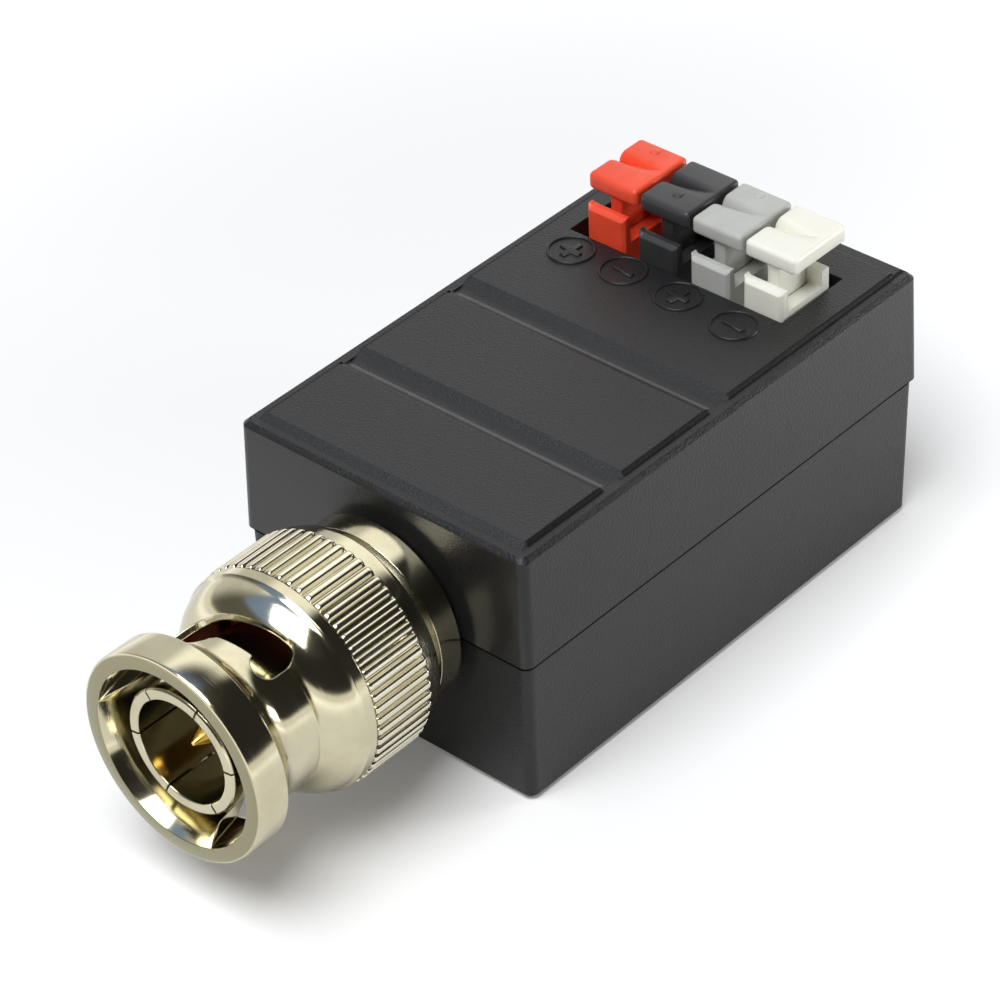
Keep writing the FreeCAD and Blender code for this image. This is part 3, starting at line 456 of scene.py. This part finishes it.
housing_finish("housing_plastic", grain_depth=0.03)
housing_finish("moulded_marks", grain_depth=0.006)
nickel_finish("nickel_plate", tint=(0.58, 0.54, 0.39), shade=(0.50, 0.455, 0.31), rough=0.12,
              edge=0.1, turning=0.6)
nickel_finish("nickel_knurl", tint=(0.70, 0.66, 0.52), shade=(0.62, 0.575, 0.43), rough=0.2,
              edge=0, turning=0)
gold_finish()
lever_finish("red_plastic", tone=(0.86, 0.085, 0.033), deep=(0.74, 0.050, 0.018), rough=0.4, milky=0.15)
lever_finish("black_plastic", tone=(0.034, 0.034, 0.035), deep=(0.024, 0.024, 0.025), rough=0.42)
lever_finish("grey_plastic", tone=(0.47, 0.475, 0.45), deep=(0.40, 0.40, 0.375), rough=0.42)
lever_finish("white_plastic", tone=(0.83, 0.825, 0.74), deep=(0.78, 0.765, 0.66), rough=0.4, milky=0.2)
plain_finish("white_insulation", tone=(0.80, 0.79, 0.75), deep=(0.70, 0.69, 0.64), rough=0.5)
plain_finish("red_silicone", tone=(0.62, 0.055, 0.03), deep=(0.45, 0.03, 0.018), rough=0.45)
plain_finish("spring_steel", tone=(0.62, 0.61, 0.59), deep=(0.50, 0.49, 0.47), rough=0.28, size=0.2,
             depth=0.004, metallic=1.0)
plain_finish("tinned_copper", tone=(0.72, 0.70, 0.66), deep=(0.60, 0.58, 0.54), rough=0.35, size=0.3,
             depth=0.006, metallic=1.0)
plain_finish("copper_wire", tone=(0.62, 0.22, 0.09), deep=(0.45, 0.13, 0.05), rough=0.25, size=0.25,
             depth=0.01, metallic=1.0)
plain_finish("ferrite", tone=(0.055, 0.055, 0.06), deep=(0.035, 0.035, 0.038), rough=0.7, size=0.12,
             depth=0.02)
plain_finish("capacitor_case", tone=(0.60, 0.10, 0.03), deep=(0.45, 0.06, 0.02), rough=0.3, size=0.8)
plain_finish("arrester_ceramic", tone=(0.72, 0.69, 0.62), deep=(0.60, 0.57, 0.50), rough=0.35, size=0.4)
chip_finish()
board_finish()

SLOTS = {part["node"]: part["material_slot"] for part in frame["record"]["subparts"]}
for node, piece in frame["nodes"].items():
    piece.data.materials.clear()
    piece.data.materials.append(FINISHES[SLOTS[node]])


# Mesh helpers

def skin(mesh, loops, joined=False):
    """Faces from each loop of points to the next, with closed ends unless the last loop joins the first."""
    rows = [[mesh.verts.new(Vector(point) * MM) for point in loop] for loop in loops]
    for first, second in list(zip(rows, rows[1:])) + ([(rows[-1], rows[0])] if joined else []):
        for i in range(len(first)):
            k = (i + 1) % len(first)
            mesh.faces.new((first[i], first[k], second[k], second[i]))
    if not joined:
        mesh.faces.new(list(reversed(rows[0])))
        mesh.faces.new(rows[-1])


def smoothed(mesh, sharp=35):
    """Smooth shading that keeps the edges sharper than an angle."""
    mesh.shade_smooth()
    mesh.set_sharp_from_angle(angle=math.radians(sharp))
    return mesh


def made_mesh(name, solids, sharp=35):
    """One mesh from solids, each given as its loops of points and whether the last loop joins the first."""
    mesh = bmesh.new()
    for loops, joined in solids:
        skin(mesh, loops, joined)
    bmesh.ops.recalc_face_normals(mesh, faces=mesh.faces)
    made = bpy.data.meshes.new(name)
    mesh.to_mesh(made)
    mesh.free()
    return smoothed(made, sharp)


def merged_copy(node, name):
    """A copy of a CAD node's mesh with its loose triangles joined."""
    mesh = bmesh.new()
    mesh.from_mesh(frame["nodes"][node].data)
    bmesh.ops.remove_doubles(mesh, verts=mesh.verts, dist=0.0005 * MM)
    copy = bpy.data.meshes.new(name)
    mesh.to_mesh(copy)
    mesh.free()
    return copy


def finished(name, mesh, slot, body, *nodes, finish=None):
    """A piece at the origin, in its finish, on its body, in place of the CAD nodes given."""
    mesh.materials.clear()
    mesh.materials.append(FINISHES[finish or slot])
    piece = bpy.data.objects.new(name, mesh)
    bpy.context.collection.objects.link(piece)
    if nodes:
        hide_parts(*nodes)
    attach(piece, body)
    return piece


def settled(mesh, add_modifiers):
    """The mesh as it comes out of the modifiers that a function adds, with no modifier left."""
    holder = bpy.data.objects.new("holder", mesh)
    bpy.context.collection.objects.link(holder)
    helpers = add_modifiers(holder) or []
    result = bpy.data.meshes.new_from_object(holder.evaluated_get(bpy.context.evaluated_depsgraph_get()))
    for used in (holder, *helpers):
        bpy.data.objects.remove(used)
    result.name = mesh.name
    return result


def carved(mesh, tools):
    """The mesh with other meshes cut out of it."""
    def cut(holder):
        helpers = []
        for tool in tools:
            helper = bpy.data.objects.new("cutter", tool)
            bpy.context.collection.objects.link(helper)
            cutting = holder.modifiers.new("cut", "BOOLEAN")
            cutting.solver = "EXACT"
            cutting.object = helper
            helpers.append(helper)
        return helpers

    return settled(mesh, cut)


def arc(start, middle, end, count=10):
    """Points along the arc from start through middle to end, without its start point."""
    (x1, y1), (x2, y2), (x3, y3) = start, middle, end
    double = 2 * (x1 * (y2 - y3) + x2 * (y3 - y1) + x3 * (y1 - y2))
    squares = (x1 * x1 + y1 * y1, x2 * x2 + y2 * y2, x3 * x3 + y3 * y3)
    cx = (squares[0] * (y2 - y3) + squares[1] * (y3 - y1) + squares[2] * (y1 - y2)) / double
    cy = (squares[0] * (x3 - x2) + squares[1] * (x1 - x3) + squares[2] * (x2 - x1)) / double
    radius = math.hypot(x1 - cx, y1 - cy)
    first, last = math.atan2(y1 - cy, x1 - cx), math.atan2(y3 - cy, x3 - cx)
    sweep = (last - first + math.pi) % (2 * math.pi) - math.pi
    angles = (first + sweep * i / count for i in range(1, count + 1))
    return [(cx + radius * math.cos(a), cy + radius * math.sin(a)) for a in angles]


def round_loop(x0, x1, y0, y1, radius, z, count=4):
    """A level rectangle with round corners."""
    corners = ((x1 - radius, y1 - radius), (x0 + radius, y1 - radius), (x0 + radius, y0 + radius),
               (x1 - radius, y0 + radius))
    return [(x + radius * math.cos(a), y + radius * math.sin(a), z)
            for i, (x, y) in enumerate(corners)
            for a in ((i + k / count) * math.pi / 2 for k in range(count + 1))]


# Bayonet coupling

def plug_frame():
    """X and Z of the plug's axis, and Y of the front face that heights are counted from."""
    low, high = (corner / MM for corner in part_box("coupling_sleeve"))
    return (low.x + high.x) / 2, (low.z + high.z) / 2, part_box("upper_shell")[0].y / MM


PLUG_X, PLUG_Z, PLUG_ROOT = plug_frame()


def on_plug(radius, angle, height, side=0.0):
    """A point given by its radius, angle in degrees and height along the plug, and a step sideways."""
    a = math.radians(angle)
    return (PLUG_X + radius * math.cos(a) - side * math.sin(a), PLUG_ROOT - height,
            PLUG_Z + radius * math.sin(a) + side * math.cos(a))


def sleeve_body():
    """The turned sleeve, without its ridges and slots."""
    shoulder = (RIM_RADIUS, BAND_END + BAND_RADIUS - RIM_RADIUS)
    waist_start, waist_end = ((WAIST_RADIUS, height) for height in WAIST_HEIGHTS)
    rim = [(LIP_RADIUS, RIM_START), (RIM_RADIUS - RIM_BEVEL, RIM_START),
           (RIM_RADIUS - RIM_BEVEL / 4, RIM_START + RIM_BEVEL / 3), (RIM_RADIUS, RIM_START + RIM_BEVEL),
           (RIM_RADIUS, RIDGE_END), (BAND_RADIUS, RIDGE_END), (BAND_RADIUS, BAND_END), shoulder]
    waist = arc(shoulder, SHOULDER_MIDDLE, waist_start, 14)
    waist += [(WAIST_RADIUS, waist_start[1] + i * 0.4) for i in range(1, 5)]
    flange = [waist_end, *arc(waist_end, FLANGE_MIDDLE, (FLANGE_RADIUS, FLANGE_START), 14),
              (FLANGE_RADIUS, FLANGE_END - FLANGE_BEVEL),
              (FLANGE_RADIUS - FLANGE_BEVEL_MIDDLE, FLANGE_END - FLANGE_BEVEL_MIDDLE),
              (FLANGE_RADIUS - FLANGE_BEVEL, FLANGE_END)]
    inside = [(MOUTH_RADIUS, FLANGE_END), (BORE_RADIUS, FLANGE_END - MOUTH_DEPTH),
              (BORE_RADIUS, CHAMBER_END + CHAMBER_TAPER), (CHAMBER_RADIUS, CHAMBER_END),
              (CHAMBER_RADIUS, LIP_END), (LIP_RADIUS, LIP_END)]
    outline = rim + waist + flange + inside
    return turned("coupling_body", outline, SLEEVE_COLUMNS)


def rim_heights(angle):
    """Heights of the slot's two rims at an angle, with the bends between its straight runs rounded."""
    def straight(at, column):
        """A rim's height on the straight runs between the path's points."""
        for start, end in zip(SLOT_RIMS, SLOT_RIMS[1:]):
            if at <= end[0] or end is LUG_ENTRY:
                return start[column] + (end[column] - start[column]) * (at - start[0]) / (end[0] - start[0])

    spread = min(BEND_SPREAD, angle - LUG_LOCK[0])
    return [sum(straight(angle + spread * k / 3, column) for k in range(-3, 4)) / 7 for column in (1, 2)]


def slot_cutters():
    """The lug paths' ramps and dwells, and the locks at their ends."""
    first, last = LUG_LOCK[0], LUG_ENTRY[0]
    steps, sides = 37, 40
    inner, outer = BORE_RADIUS - SLOT_HALF_WIDTH / 2, RIM_RADIUS
    paths, locks = [], []
    for turn in (0, 180):
        loops = []
        for i in range(steps + 1):
            angle = first + (last - first) * i / steps
            far, near = rim_heights(angle)
            reach = outer if angle < LUG_DWELL_END[0] else SLOT_REACH
            loops.append([on_plug(inner, angle + turn, far), on_plug(reach, angle + turn, far),
                          on_plug(reach, angle + turn, near), on_plug(inner, angle + turn, near)])
        paths.append((loops, False))
        outline = []
        for k in range(sides):
            # A slight turn keeps the points off the line between the two round ends
            a = 2 * math.pi * k / sides + 0.001
            middle = LOCK_HEIGHTS[1] if a < math.pi else LOCK_HEIGHTS[0]
            outline.append((SLOT_HALF_WIDTH * math.cos(a), middle + SLOT_HALF_WIDTH * math.sin(a)))
        locks.append(([[on_plug(radius, first + turn, height, side) for side, height in outline]
                       for radius in (inner, outer)], False))
    return made_mesh("slot_paths", paths), made_mesh("slot_locks", locks)


def repeat_round_plug(material):
    """A node tree that sets copies of one ridge round the plug's axis."""
    tree = bpy.data.node_groups.new("repeat_round_plug", "GeometryNodeTree")
    kinds = {"Geometry": "NodeSocketGeometry", "Count": "NodeSocketInt", "Axis": "NodeSocketVector"}
    sockets = {name: tree.interface.new_socket(name, in_out="INPUT", socket_type=kind).identifier
               for name, kind in kinds.items()}
    tree.interface.new_socket("Geometry", in_out="OUTPUT", socket_type="NodeSocketGeometry")
    s = Shader(tree)
    given = s.node("NodeGroupInput")
    step = 2 * math.pi / given.out("Count")
    points = s.node("GeometryNodePoints", None, Count=given.out("Count"), Position=given.out("Axis"))
    turn = s.point(0.0, s.node("GeometryNodeInputIndex").out() * step, 0.0)
    copies = s.node("GeometryNodeInstanceOnPoints", None, Points=points.out(),
                    Instance=given.out("Geometry"), Rotation=turn)
    real = s.node("GeometryNodeRealizeInstances", None, Geometry=copies.out())
    dressed = s.node("GeometryNodeSetMaterial", None, Geometry=real.out(), Material=material)
    s.node("NodeGroupOutput", None, dressed.out())
    return tree, sockets


def squared(share):
    """Bends a circle's sine or cosine towards a square with round corners."""
    return math.copysign(abs(share) ** RIDGE_SQUARENESS, share)


def knurl_ridges():
    """One rounded ridge, repeated round the sleeve."""
    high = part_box("coupling_sleeve")[1].x / MM - PLUG_X
    pitch = 2 * math.pi * RIM_RADIUS / RIDGE_COUNT
    lift = high - RIM_RADIUS
    # The section: each point's step across in pitches, and its rise in ridge heights
    crown = [(-0.5, -0.1), (-0.44, 0.0)]
    crown += [(-RIDGE_HALF_CREST * squared(math.cos(a)), 0.45 + 0.55 * squared(math.sin(a)))
              for a in (math.pi * k / 10 for k in range(11))]
    crown += [(0.44, 0.0), (0.5, -0.1)]
    # The ends: each station's step inward in bevels, and the share of the rise reached there
    ends = ((0.0, 0.0), (0.3, 0.7), (1.0, 1.0), (1.6, 1.0))
    stations = [(RIDGE_START + RIDGE_BEVEL * step, share) for step, share in ends]
    stations += [(RIDGE_END - RIDGE_BEVEL * step, share) for step, share in reversed(ends)]
    loops = []
    for height, share in stations:
        loops.append([(across * pitch, -height, RIM_RADIUS + (rise * share if rise > 0 else rise) * lift)
                      for across, rise in crown])
    ridge = made_mesh("knurl_ridges", [(loops, False)], 40)
    tree, sockets = repeat_round_plug(FINISHES["nickel_knurl"])

    def repeat(holder):
        spread = holder.modifiers.new("ridges", "NODES")
        spread.node_group = tree
        spread[sockets["Count"]] = RIDGE_COUNT
        spread[sockets["Axis"]] = Vector((PLUG_X, PLUG_ROOT, PLUG_Z)) * MM

    return settled(ridge, repeat)


def turned(name, outline, columns=192):
    """An outline of radii and heights, turned round the plug's axis."""
    loops = [[on_plug(radius, 360 * i / columns, height) for radius, height in outline]
             for i in range(columns)]
    return made_mesh(name, [(loops, True)])


def slotted_contact():
    """The spring contact inside the coupling, with its hair-thin slits."""
    spigot, flange, seat = CONTACT_SHOULDER_RADII
    first, second, third = CONTACT_SHOULDERS
    body = turned("contact_barrel", [
        (CONTACT_SEAT_BORE, CONTACT_START), (spigot, CONTACT_START), (spigot, first), (flange, first),
        (flange, second), (seat, second), (seat, third), (CONTACT_RADIUS, third),
        (CONTACT_RADIUS, CONTACT_END - CONTACT_CHAMFER), (CONTACT_RADIUS - CONTACT_CHAMFER, CONTACT_END),
        (CONTACT_BORE + CONTACT_BORE_CHAMFER, CONTACT_END),
        (CONTACT_BORE, CONTACT_END - CONTACT_BORE_CHAMFER),
        (CONTACT_BORE, CONTACT_SEAT_END), (CONTACT_SEAT_BORE, CONTACT_SEAT_END)])
    half, past = SLIT_WIDTH / 2, CONTACT_END + 1
    corners = ((-half, SLIT_END), (half, SLIT_END), (half, past), (-half, past))
    slits = []
    for i in range(SLIT_COUNT):
        angle = SLIT_ANGLE + 360 * i / SLIT_COUNT
        slits.append(([[on_plug(radius, angle, height, side) for side, height in corners]
                       for radius in (CONTACT_BORE - 1, CONTACT_RADIUS + 1)], False))
    return smoothed(carved(body, [made_mesh("slits", slits)]))


def gasket_ring():
    """The soft ring behind the slots, with a rounded outer edge."""
    low, high = (PLUG_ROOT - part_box("gasket")[k].y / MM for k in (1, 0))
    inner, outer = GASKET_RADII
    middle, half = (low + high) / 2, (high - low) / 2
    round_edge = [(outer - GASKET_ROUNDING + GASKET_ROUNDING * math.cos(a), middle + half * math.sin(a))
                  for a in (math.pi * (k / 8 - 0.5) for k in range(9))]
    return turned("gasket_ring", [(inner, low), *round_edge, (inner, high)], 96)


def bayonet_coupling():
    """The coupling with its knurl, and the contact and gasket inside it."""
    sleeve = smoothed(carved(sleeve_body(), slot_cutters()))
    finished("bayonet_coupling", sleeve, "nickel_plate", "coupling", "coupling_sleeve")
    finished("knurl_ridges", knurl_ridges(), "nickel_plate", "coupling", finish="nickel_knurl")
    finished("slotted_contact", slotted_contact(), "nickel_plate", "housing", "outer_contact")
    finished("gasket_ring", gasket_ring(), "red_silicone", "housing", "gasket")


# Push levers

def groove_drop(share):
    """How far the cross groove has sunk, from 0 to 1, at a share of the head's length."""
    if GROOVE_START < share <= GROOVE_BOTTOM:
        return ((share - GROOVE_START) / (GROOVE_BOTTOM - GROOVE_START)) ** GROOVE_SLOPE
    if GROOVE_BOTTOM < share < GROOVE_END:
        rise = (GROOVE_END - share) / (GROOVE_END - GROOVE_BOTTOM)
        return 1 - math.sqrt(1 - rise * rise)
    return 0.0


def head_section(low, high, inset, depth):
    """The head's outline across its groove, drawn in by an inset, as (y, z) points."""
    y0, y1 = low.y + inset, high.y - inset
    z0, z1 = high.z - HEAD_THICKNESS + inset * 0.6, high.z - inset
    radius = max(HEAD_ROUNDING - inset, HEAD_LEAST_ROUNDING)
    depth = min(depth, (z1 - z0) * GROOVE_DEPTH_SHARE)
    steps = [GROOVE_START + (GROOVE_BOTTOM - GROOVE_START) * k / 10 for k in range(11)]
    steps += [GROOVE_END - (GROOVE_END - GROOVE_BOTTOM) * math.sin(math.pi / 2 * k / 10)
              for k in range(9, -1, -1)]
    corners = ((y0 + radius, z0 + radius), (y1 - radius, z0 + radius), (y1 - radius, z1 - radius),
               (y0 + radius, z1 - radius))
    outline = []
    for i, (y, z) in enumerate(corners):
        # The groove lies in the top, before its front corner
        if i == 3:
            for share in reversed(steps):
                outline.append((low.y + (high.y - low.y) * share, z1 - depth * groove_drop(share)))
        turns = (math.pi * (1 + i / 2 + k / 10) for k in range(6))
        outline += [(y + radius * math.cos(a), z + radius * math.sin(a)) for a in turns]
    return outline


def push_lever(colour):
    """A saddle-shaped head on a flared rib, with the foot that presses the clamp's spring."""
    node = f"push_lever_{colour}"
    low, high = (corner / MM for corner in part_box(node))
    width = high.x - low.x
    ends = [(HEAD_ROUNDING * (1 - math.cos(a)), HEAD_ROUNDING * (1 - math.sin(a)))
            for a in (math.pi / 2 * k / 6 for k in range(7))]
    middle = [(HEAD_ROUNDING + (width - 2 * HEAD_ROUNDING) * k / 18, 0.0) for k in range(1, 18)]
    stations = ends + middle + [(width - across, inset) for across, inset in reversed(ends)]
    head = []
    for across, inset in stations:
        fade = min(max((across / width - GROOVE_FULL_WIDTH) / (GROOVE_WIDTH - GROOVE_FULL_WIDTH), 0.0), 1.0)
        depth = GROOVE_DEPTH * (1 - fade)
        head.append([(low.x + across, y, z) for y, z in head_section(low, high, inset, depth)])
    x = (low.x + high.x) / 2
    front, rear = low.y + RIB_FRONT_INSET, high.y - RIB_REAR_INSET
    underside = high.z - HEAD_THICKNESS
    rib = []
    for drop in (underside - low.z - FOOT_HEIGHT, RIB_FLARE, *FLARE_STEPS, -HEAD_OVERLAP):
        nearness = min(max(1 - drop / RIB_FLARE, 0.0), 1.0)
        flare = RIB_FLARE * (1 - math.sqrt(1 - nearness ** 2))
        half = RIB_WIDTH / 2 + flare
        y0, y1 = front - flare * 0.2, rear + flare * 0.5
        rib.append(round_loop(x - half, x + half, y0, y1, RIB_ROUNDING, underside - drop))
    half = FOOT_WIDTH / 2
    foot = [round_loop(x - half, x + half, front, rear, FOOT_ROUNDING, z)
            for z in (low.z, low.z + FOOT_HEIGHT)]
    lever = made_mesh(f"lever_{colour}", [(head, False), (rib, False), (foot, False)], 50)
    finished(f"lever_{colour}", lever, f"{colour}_plastic", f"lever_{colour}", node)


def clamp_base(colour):
    """The clamp's base with its front wall cut down to a bevelled top edge and a bead at the left end."""
    node = f"clamp_base_{colour}"
    low, high = (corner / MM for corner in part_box(node))
    tower = (low.x + high.x) / 2
    front = low.y
    top = high.z - WALL_DROPS[colour]
    back = front + WALL_THICKNESS + 0.02
    left = tower - TOWER_HALF_WIDTH
    rises = ((left - 1, WALL_RISE), (left + WALL_BEAD * 0.4, WALL_RISE), (left + WALL_BEAD, 0.04),
             (left + WALL_BEAD * 1.5, 0.0), (left + 2 * TOWER_HALF_WIDTH + 1, 0.0))
    loops = []
    for x, rise in rises:
        # The cut starts a little below the top of the CAD wall at least
        crest = min(top + rise, high.z - 0.01)
        loops.append([(x, front - 1, crest - WALL_BEVEL - 1), (x, front + WALL_BEVEL, crest),
                      (x, back, crest), (x, back, high.z + 1), (x, front - 1, high.z + 1)])
    cutter = made_mesh("wall_cutter", [(loops, False)])
    base = carved(merged_copy(node, f"base_{colour}"), [cutter])
    base.shade_flat()
    finished(f"base_{colour}", base, f"{colour}_plastic", "housing", node)


def lever_pip(colour):
    """A small moulded pip on the head."""
    low, high = (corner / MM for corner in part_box(f"push_lever_{colour}"))
    share, shift = PIPS[colour]
    x = (low.x + high.x) / 2 + shift
    y = low.y + (high.y - low.y) * share
    loops = []
    for rise in (-0.8, 0.0, 0.35, 0.7, 0.93):
        radius = PIP_RADIUS * (1.0 if rise <= 0 else math.sqrt(1 - rise * rise))
        turns = (2 * math.pi * k / 24 for k in range(24))
        loops.append([(x + radius * math.cos(a), y + radius * math.sin(a), high.z + rise * PIP_HEIGHT)
                      for a in turns])
    pip = made_mesh(f"lever_pip_{colour}", [(loops, False)], 60)
    finished(f"lever_pip_{colour}", pip, f"{colour}_plastic", f"lever_{colour}")


# Springs

def pressed_spring(name, node, body):
    """A smoothed copy of a spring on its body, in place of the CAD node."""
    spring = finished(name, smoothed(merged_copy(node, name)), "spring_steel", body, node)
    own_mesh(spring)


def springs():
    """The wave washer behind the coupling, and the spring in each clamp."""
    pressed_spring("wave_spring", "wave_washer", "spring_washer")
    for colour in COLOURS:
        node = f"clamp_spring_{colour}"
        pressed_spring(f"spring_{colour}", node, "housing")


# Marks on the lid

def raised_ridge(run, width, height, base):
    """Loops of a low rounded ridge along a closed run of points, with its foot sunk in the surface."""
    count = len(run)
    points = [Vector(point) for point in run]
    section = ((-0.5, -0.4), (-0.42, 0.35), (-0.2, 0.92), (0.0, 1.0),
               (0.2, 0.92), (0.42, 0.35), (0.5, -0.4))
    loops = []
    for i, point in enumerate(points):
        before = (point - points[i - 1]).normalized()
        after = (points[(i + 1) % count] - point).normalized()
        along = (before + after).normalized()
        across = Vector((-along.y, along.x)) * width / max(along.dot(after), 0.5)
        loops.append([(*(point + across * share), base + lift * height) for share, lift in section])
    return loops, True


def sign_outline(plus, inset):
    """The outline of a plus or a minus about its middle, drawn in by an inset."""
    long, thin = SIGN_LENGTH / 2 - inset, SIGN_WIDTH / 2 - inset
    corner = [(thin, thin), (long, thin), (long, -thin)]
    run = []
    for _ in range(4):
        run += corner
        corner = [(y, -x) for x, y in corner]
    if not plus:
        run = [(long, thin), (long, -thin), (-long, -thin), (-long, thin)]
    c, d = math.cos(math.radians(SIGN_TURN)), math.sin(math.radians(SIGN_TURN))
    return [(x * c - y * d, x * d + y * c) for x, y in run]


def polarity_marks():
    """A circle before each clamp, with a raised plus or minus in it."""
    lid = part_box("upper_shell")[1].z / MM
    ridges = []
    for colour, (x, y) in MARK_PLACES.items():
        turns = (2 * math.pi * k / 48 for k in range(48))
        circle = [(x + MARK_RADIUS * math.cos(a), y + MARK_RADIUS * math.sin(a)) for a in turns]
        ridges.append(raised_ridge(circle, MARK_STROKE, MARK_HEIGHT, lid))
        loops = []
        for inset, rise in ((0.0, -0.4), (0.0, 0.5), (0.03, 0.8), (0.07, 0.9)):
            z = lid + rise * MARK_HEIGHT
            loops.append([(x + dx, y + dy, z) for dx, dy in sign_outline(colour in PLUS_CLAMPS, inset)])
        ridges.append((loops, False))
    marks = made_mesh("polarity_marks", ridges, 80)
    finished("polarity_marks", marks, "housing_plastic", "housing", finish="moulded_marks")


bayonet_coupling()
for colour in COLOURS:
    push_lever(colour)
    clamp_base(colour)
for colour in PIPS:
    lever_pip(colour)
springs()
polarity_marks()


# Floor, light and camera

def add_light(name, place, target, size, power):
    """A white rectangular lamp that looks at a target."""
    data = bpy.data.lights.new(name, "AREA")
    data.shape = "RECTANGLE"
    data.size, data.size_y = (side * MM for side in size)
    data.energy = power
    lamp = bpy.data.objects.new(name, data)
    lamp.location = Vector(place) * MM
    lamp.rotation_euler = (Vector(target) - Vector(place)).to_track_quat("-Z", "Y").to_euler()
    bpy.context.collection.objects.link(lamp)


def shown_background(s):
    """1 for camera, mirror and see-through rays, and 0 for the rays that light the object."""
    path = s.node("ShaderNodeLightPath")
    seen = path.out("Is Camera Ray").maths("MAXIMUM", path.out("Is Glossy Ray"))
    return seen.maths("MAXIMUM", path.out("Is Transmission Ray"))


def studio_floor():
    """A wide floor that turns to the background's white away from the object."""
    mesh = bpy.data.meshes.new("studio_floor")
    side = FLOOR_HALF * MM
    corners = [(-side, -side, 0), (side, -side, 0), (side, side, 0), (-side, side, 0)]
    mesh.from_pydata(corners, [], [(0, 1, 2, 3)])
    floor = bpy.data.objects.new("studio_floor", mesh)
    bpy.context.collection.objects.link(floor)
    s = material("studio_floor")
    paper = s.node("ShaderNodeBsdfDiffuse", None, Color=(0.8, 0.8, 0.8, 1.0))
    x, y = s.parts(s.place())[:2]
    near, far = FLOOR_WHITE
    white = (x * x + y * y).ramp(near ** 2, far ** 2)
    glow = s.node("ShaderNodeEmission", None, Color=(1, 1, 1, 1),
                  Strength=shown_background(s) * (0.12 + white * 0.75))
    both = s.node("ShaderNodeAddShader", None, paper.out(), glow.out())
    s.node("ShaderNodeOutputMaterial", None, Surface=both.out())
    mesh.materials.append(FINISHES["studio_floor"])


def studio_world():
    """A room pale at the horizon and the left rear, bluish above the left front, and dark on the right."""
    world = bpy.data.worlds.new("studio")
    bpy.context.scene.world = world
    world.use_nodes = True
    s = Shader(world.node_tree)
    direction = s.node("ShaderNodeTexCoord").out("Generated")
    x, y, z = s.parts(direction)
    seen = shown_background(s)
    left = x.ramp(0.22, 0.02)
    rear = y.ramp(-0.35, 0.15)
    pale = s.blend(x.ramp(-0.64, -0.46), (0.85, 0.85, 0.84), (1.6, 1.6, 1.57))
    wall = s.blend(left, (0.03, 0.029, 0.026), s.blend(rear, (0.16, 0.16, 0.14), pale))
    upper = s.blend(left * y.ramp(0.3, 0.05), (0.045, 0.044, 0.04), (0.28, 0.39, 0.66))
    room = s.blend((z - rear * 0.26).ramp(0.58, 0.7), wall, upper)
    tone = s.blend(z.ramp(0.05, 0.11), (1.2, 1.19, 1.1), room)
    strength = seen * 0.55 + 0.45
    s.node("ShaderNodeOutputWorld", None,
           Surface=s.node("ShaderNodeBackground", None, Color=tone, Strength=strength).out())


def photo_camera():
    """The photograph's viewpoint."""
    azimuth, elevation, roll = (math.radians(a) for a in (CAMERA_TURN, CAMERA_RISE, CAMERA_ROLL))
    back = Vector((math.sin(azimuth) * math.cos(elevation), -math.cos(azimuth) * math.cos(elevation),
                   math.sin(elevation)))
    level = Vector((math.cos(azimuth), math.sin(azimuth), 0))
    up = back.cross(level)
    right = level * math.cos(roll) + up * math.sin(roll)
    upright = up * math.cos(roll) - level * math.sin(roll)
    data = bpy.data.cameras.new("photo_camera")
    data.sensor_width = FILM_WIDTH
    data.lens = FILM_WIDTH * FOCAL_WIDTHS
    data.clip_start, data.clip_end = 0.01, 10
    camera = bpy.data.objects.new("photo_camera", data)
    turn = Matrix((right, upright, back)).transposed()
    spot = turn @ Vector(CAMERA_PLACE) * MM
    camera.matrix_world = Matrix.Translation(spot) @ turn.to_4x4()
    bpy.context.collection.objects.link(camera)
    bpy.context.scene.camera = camera


studio_floor()
studio_world()
photo_camera()
add_light("overhead_softbox", place=(20, -135, 285), target=(0, -5, 10), size=(200, 200), power=1.05)
add_light("low_rear_lamp", place=(60, 62, 26), target=(28, 40, 0), size=(30, 20), power=0.03)

scene = bpy.context.scene
scene.view_settings.view_transform = "Standard"
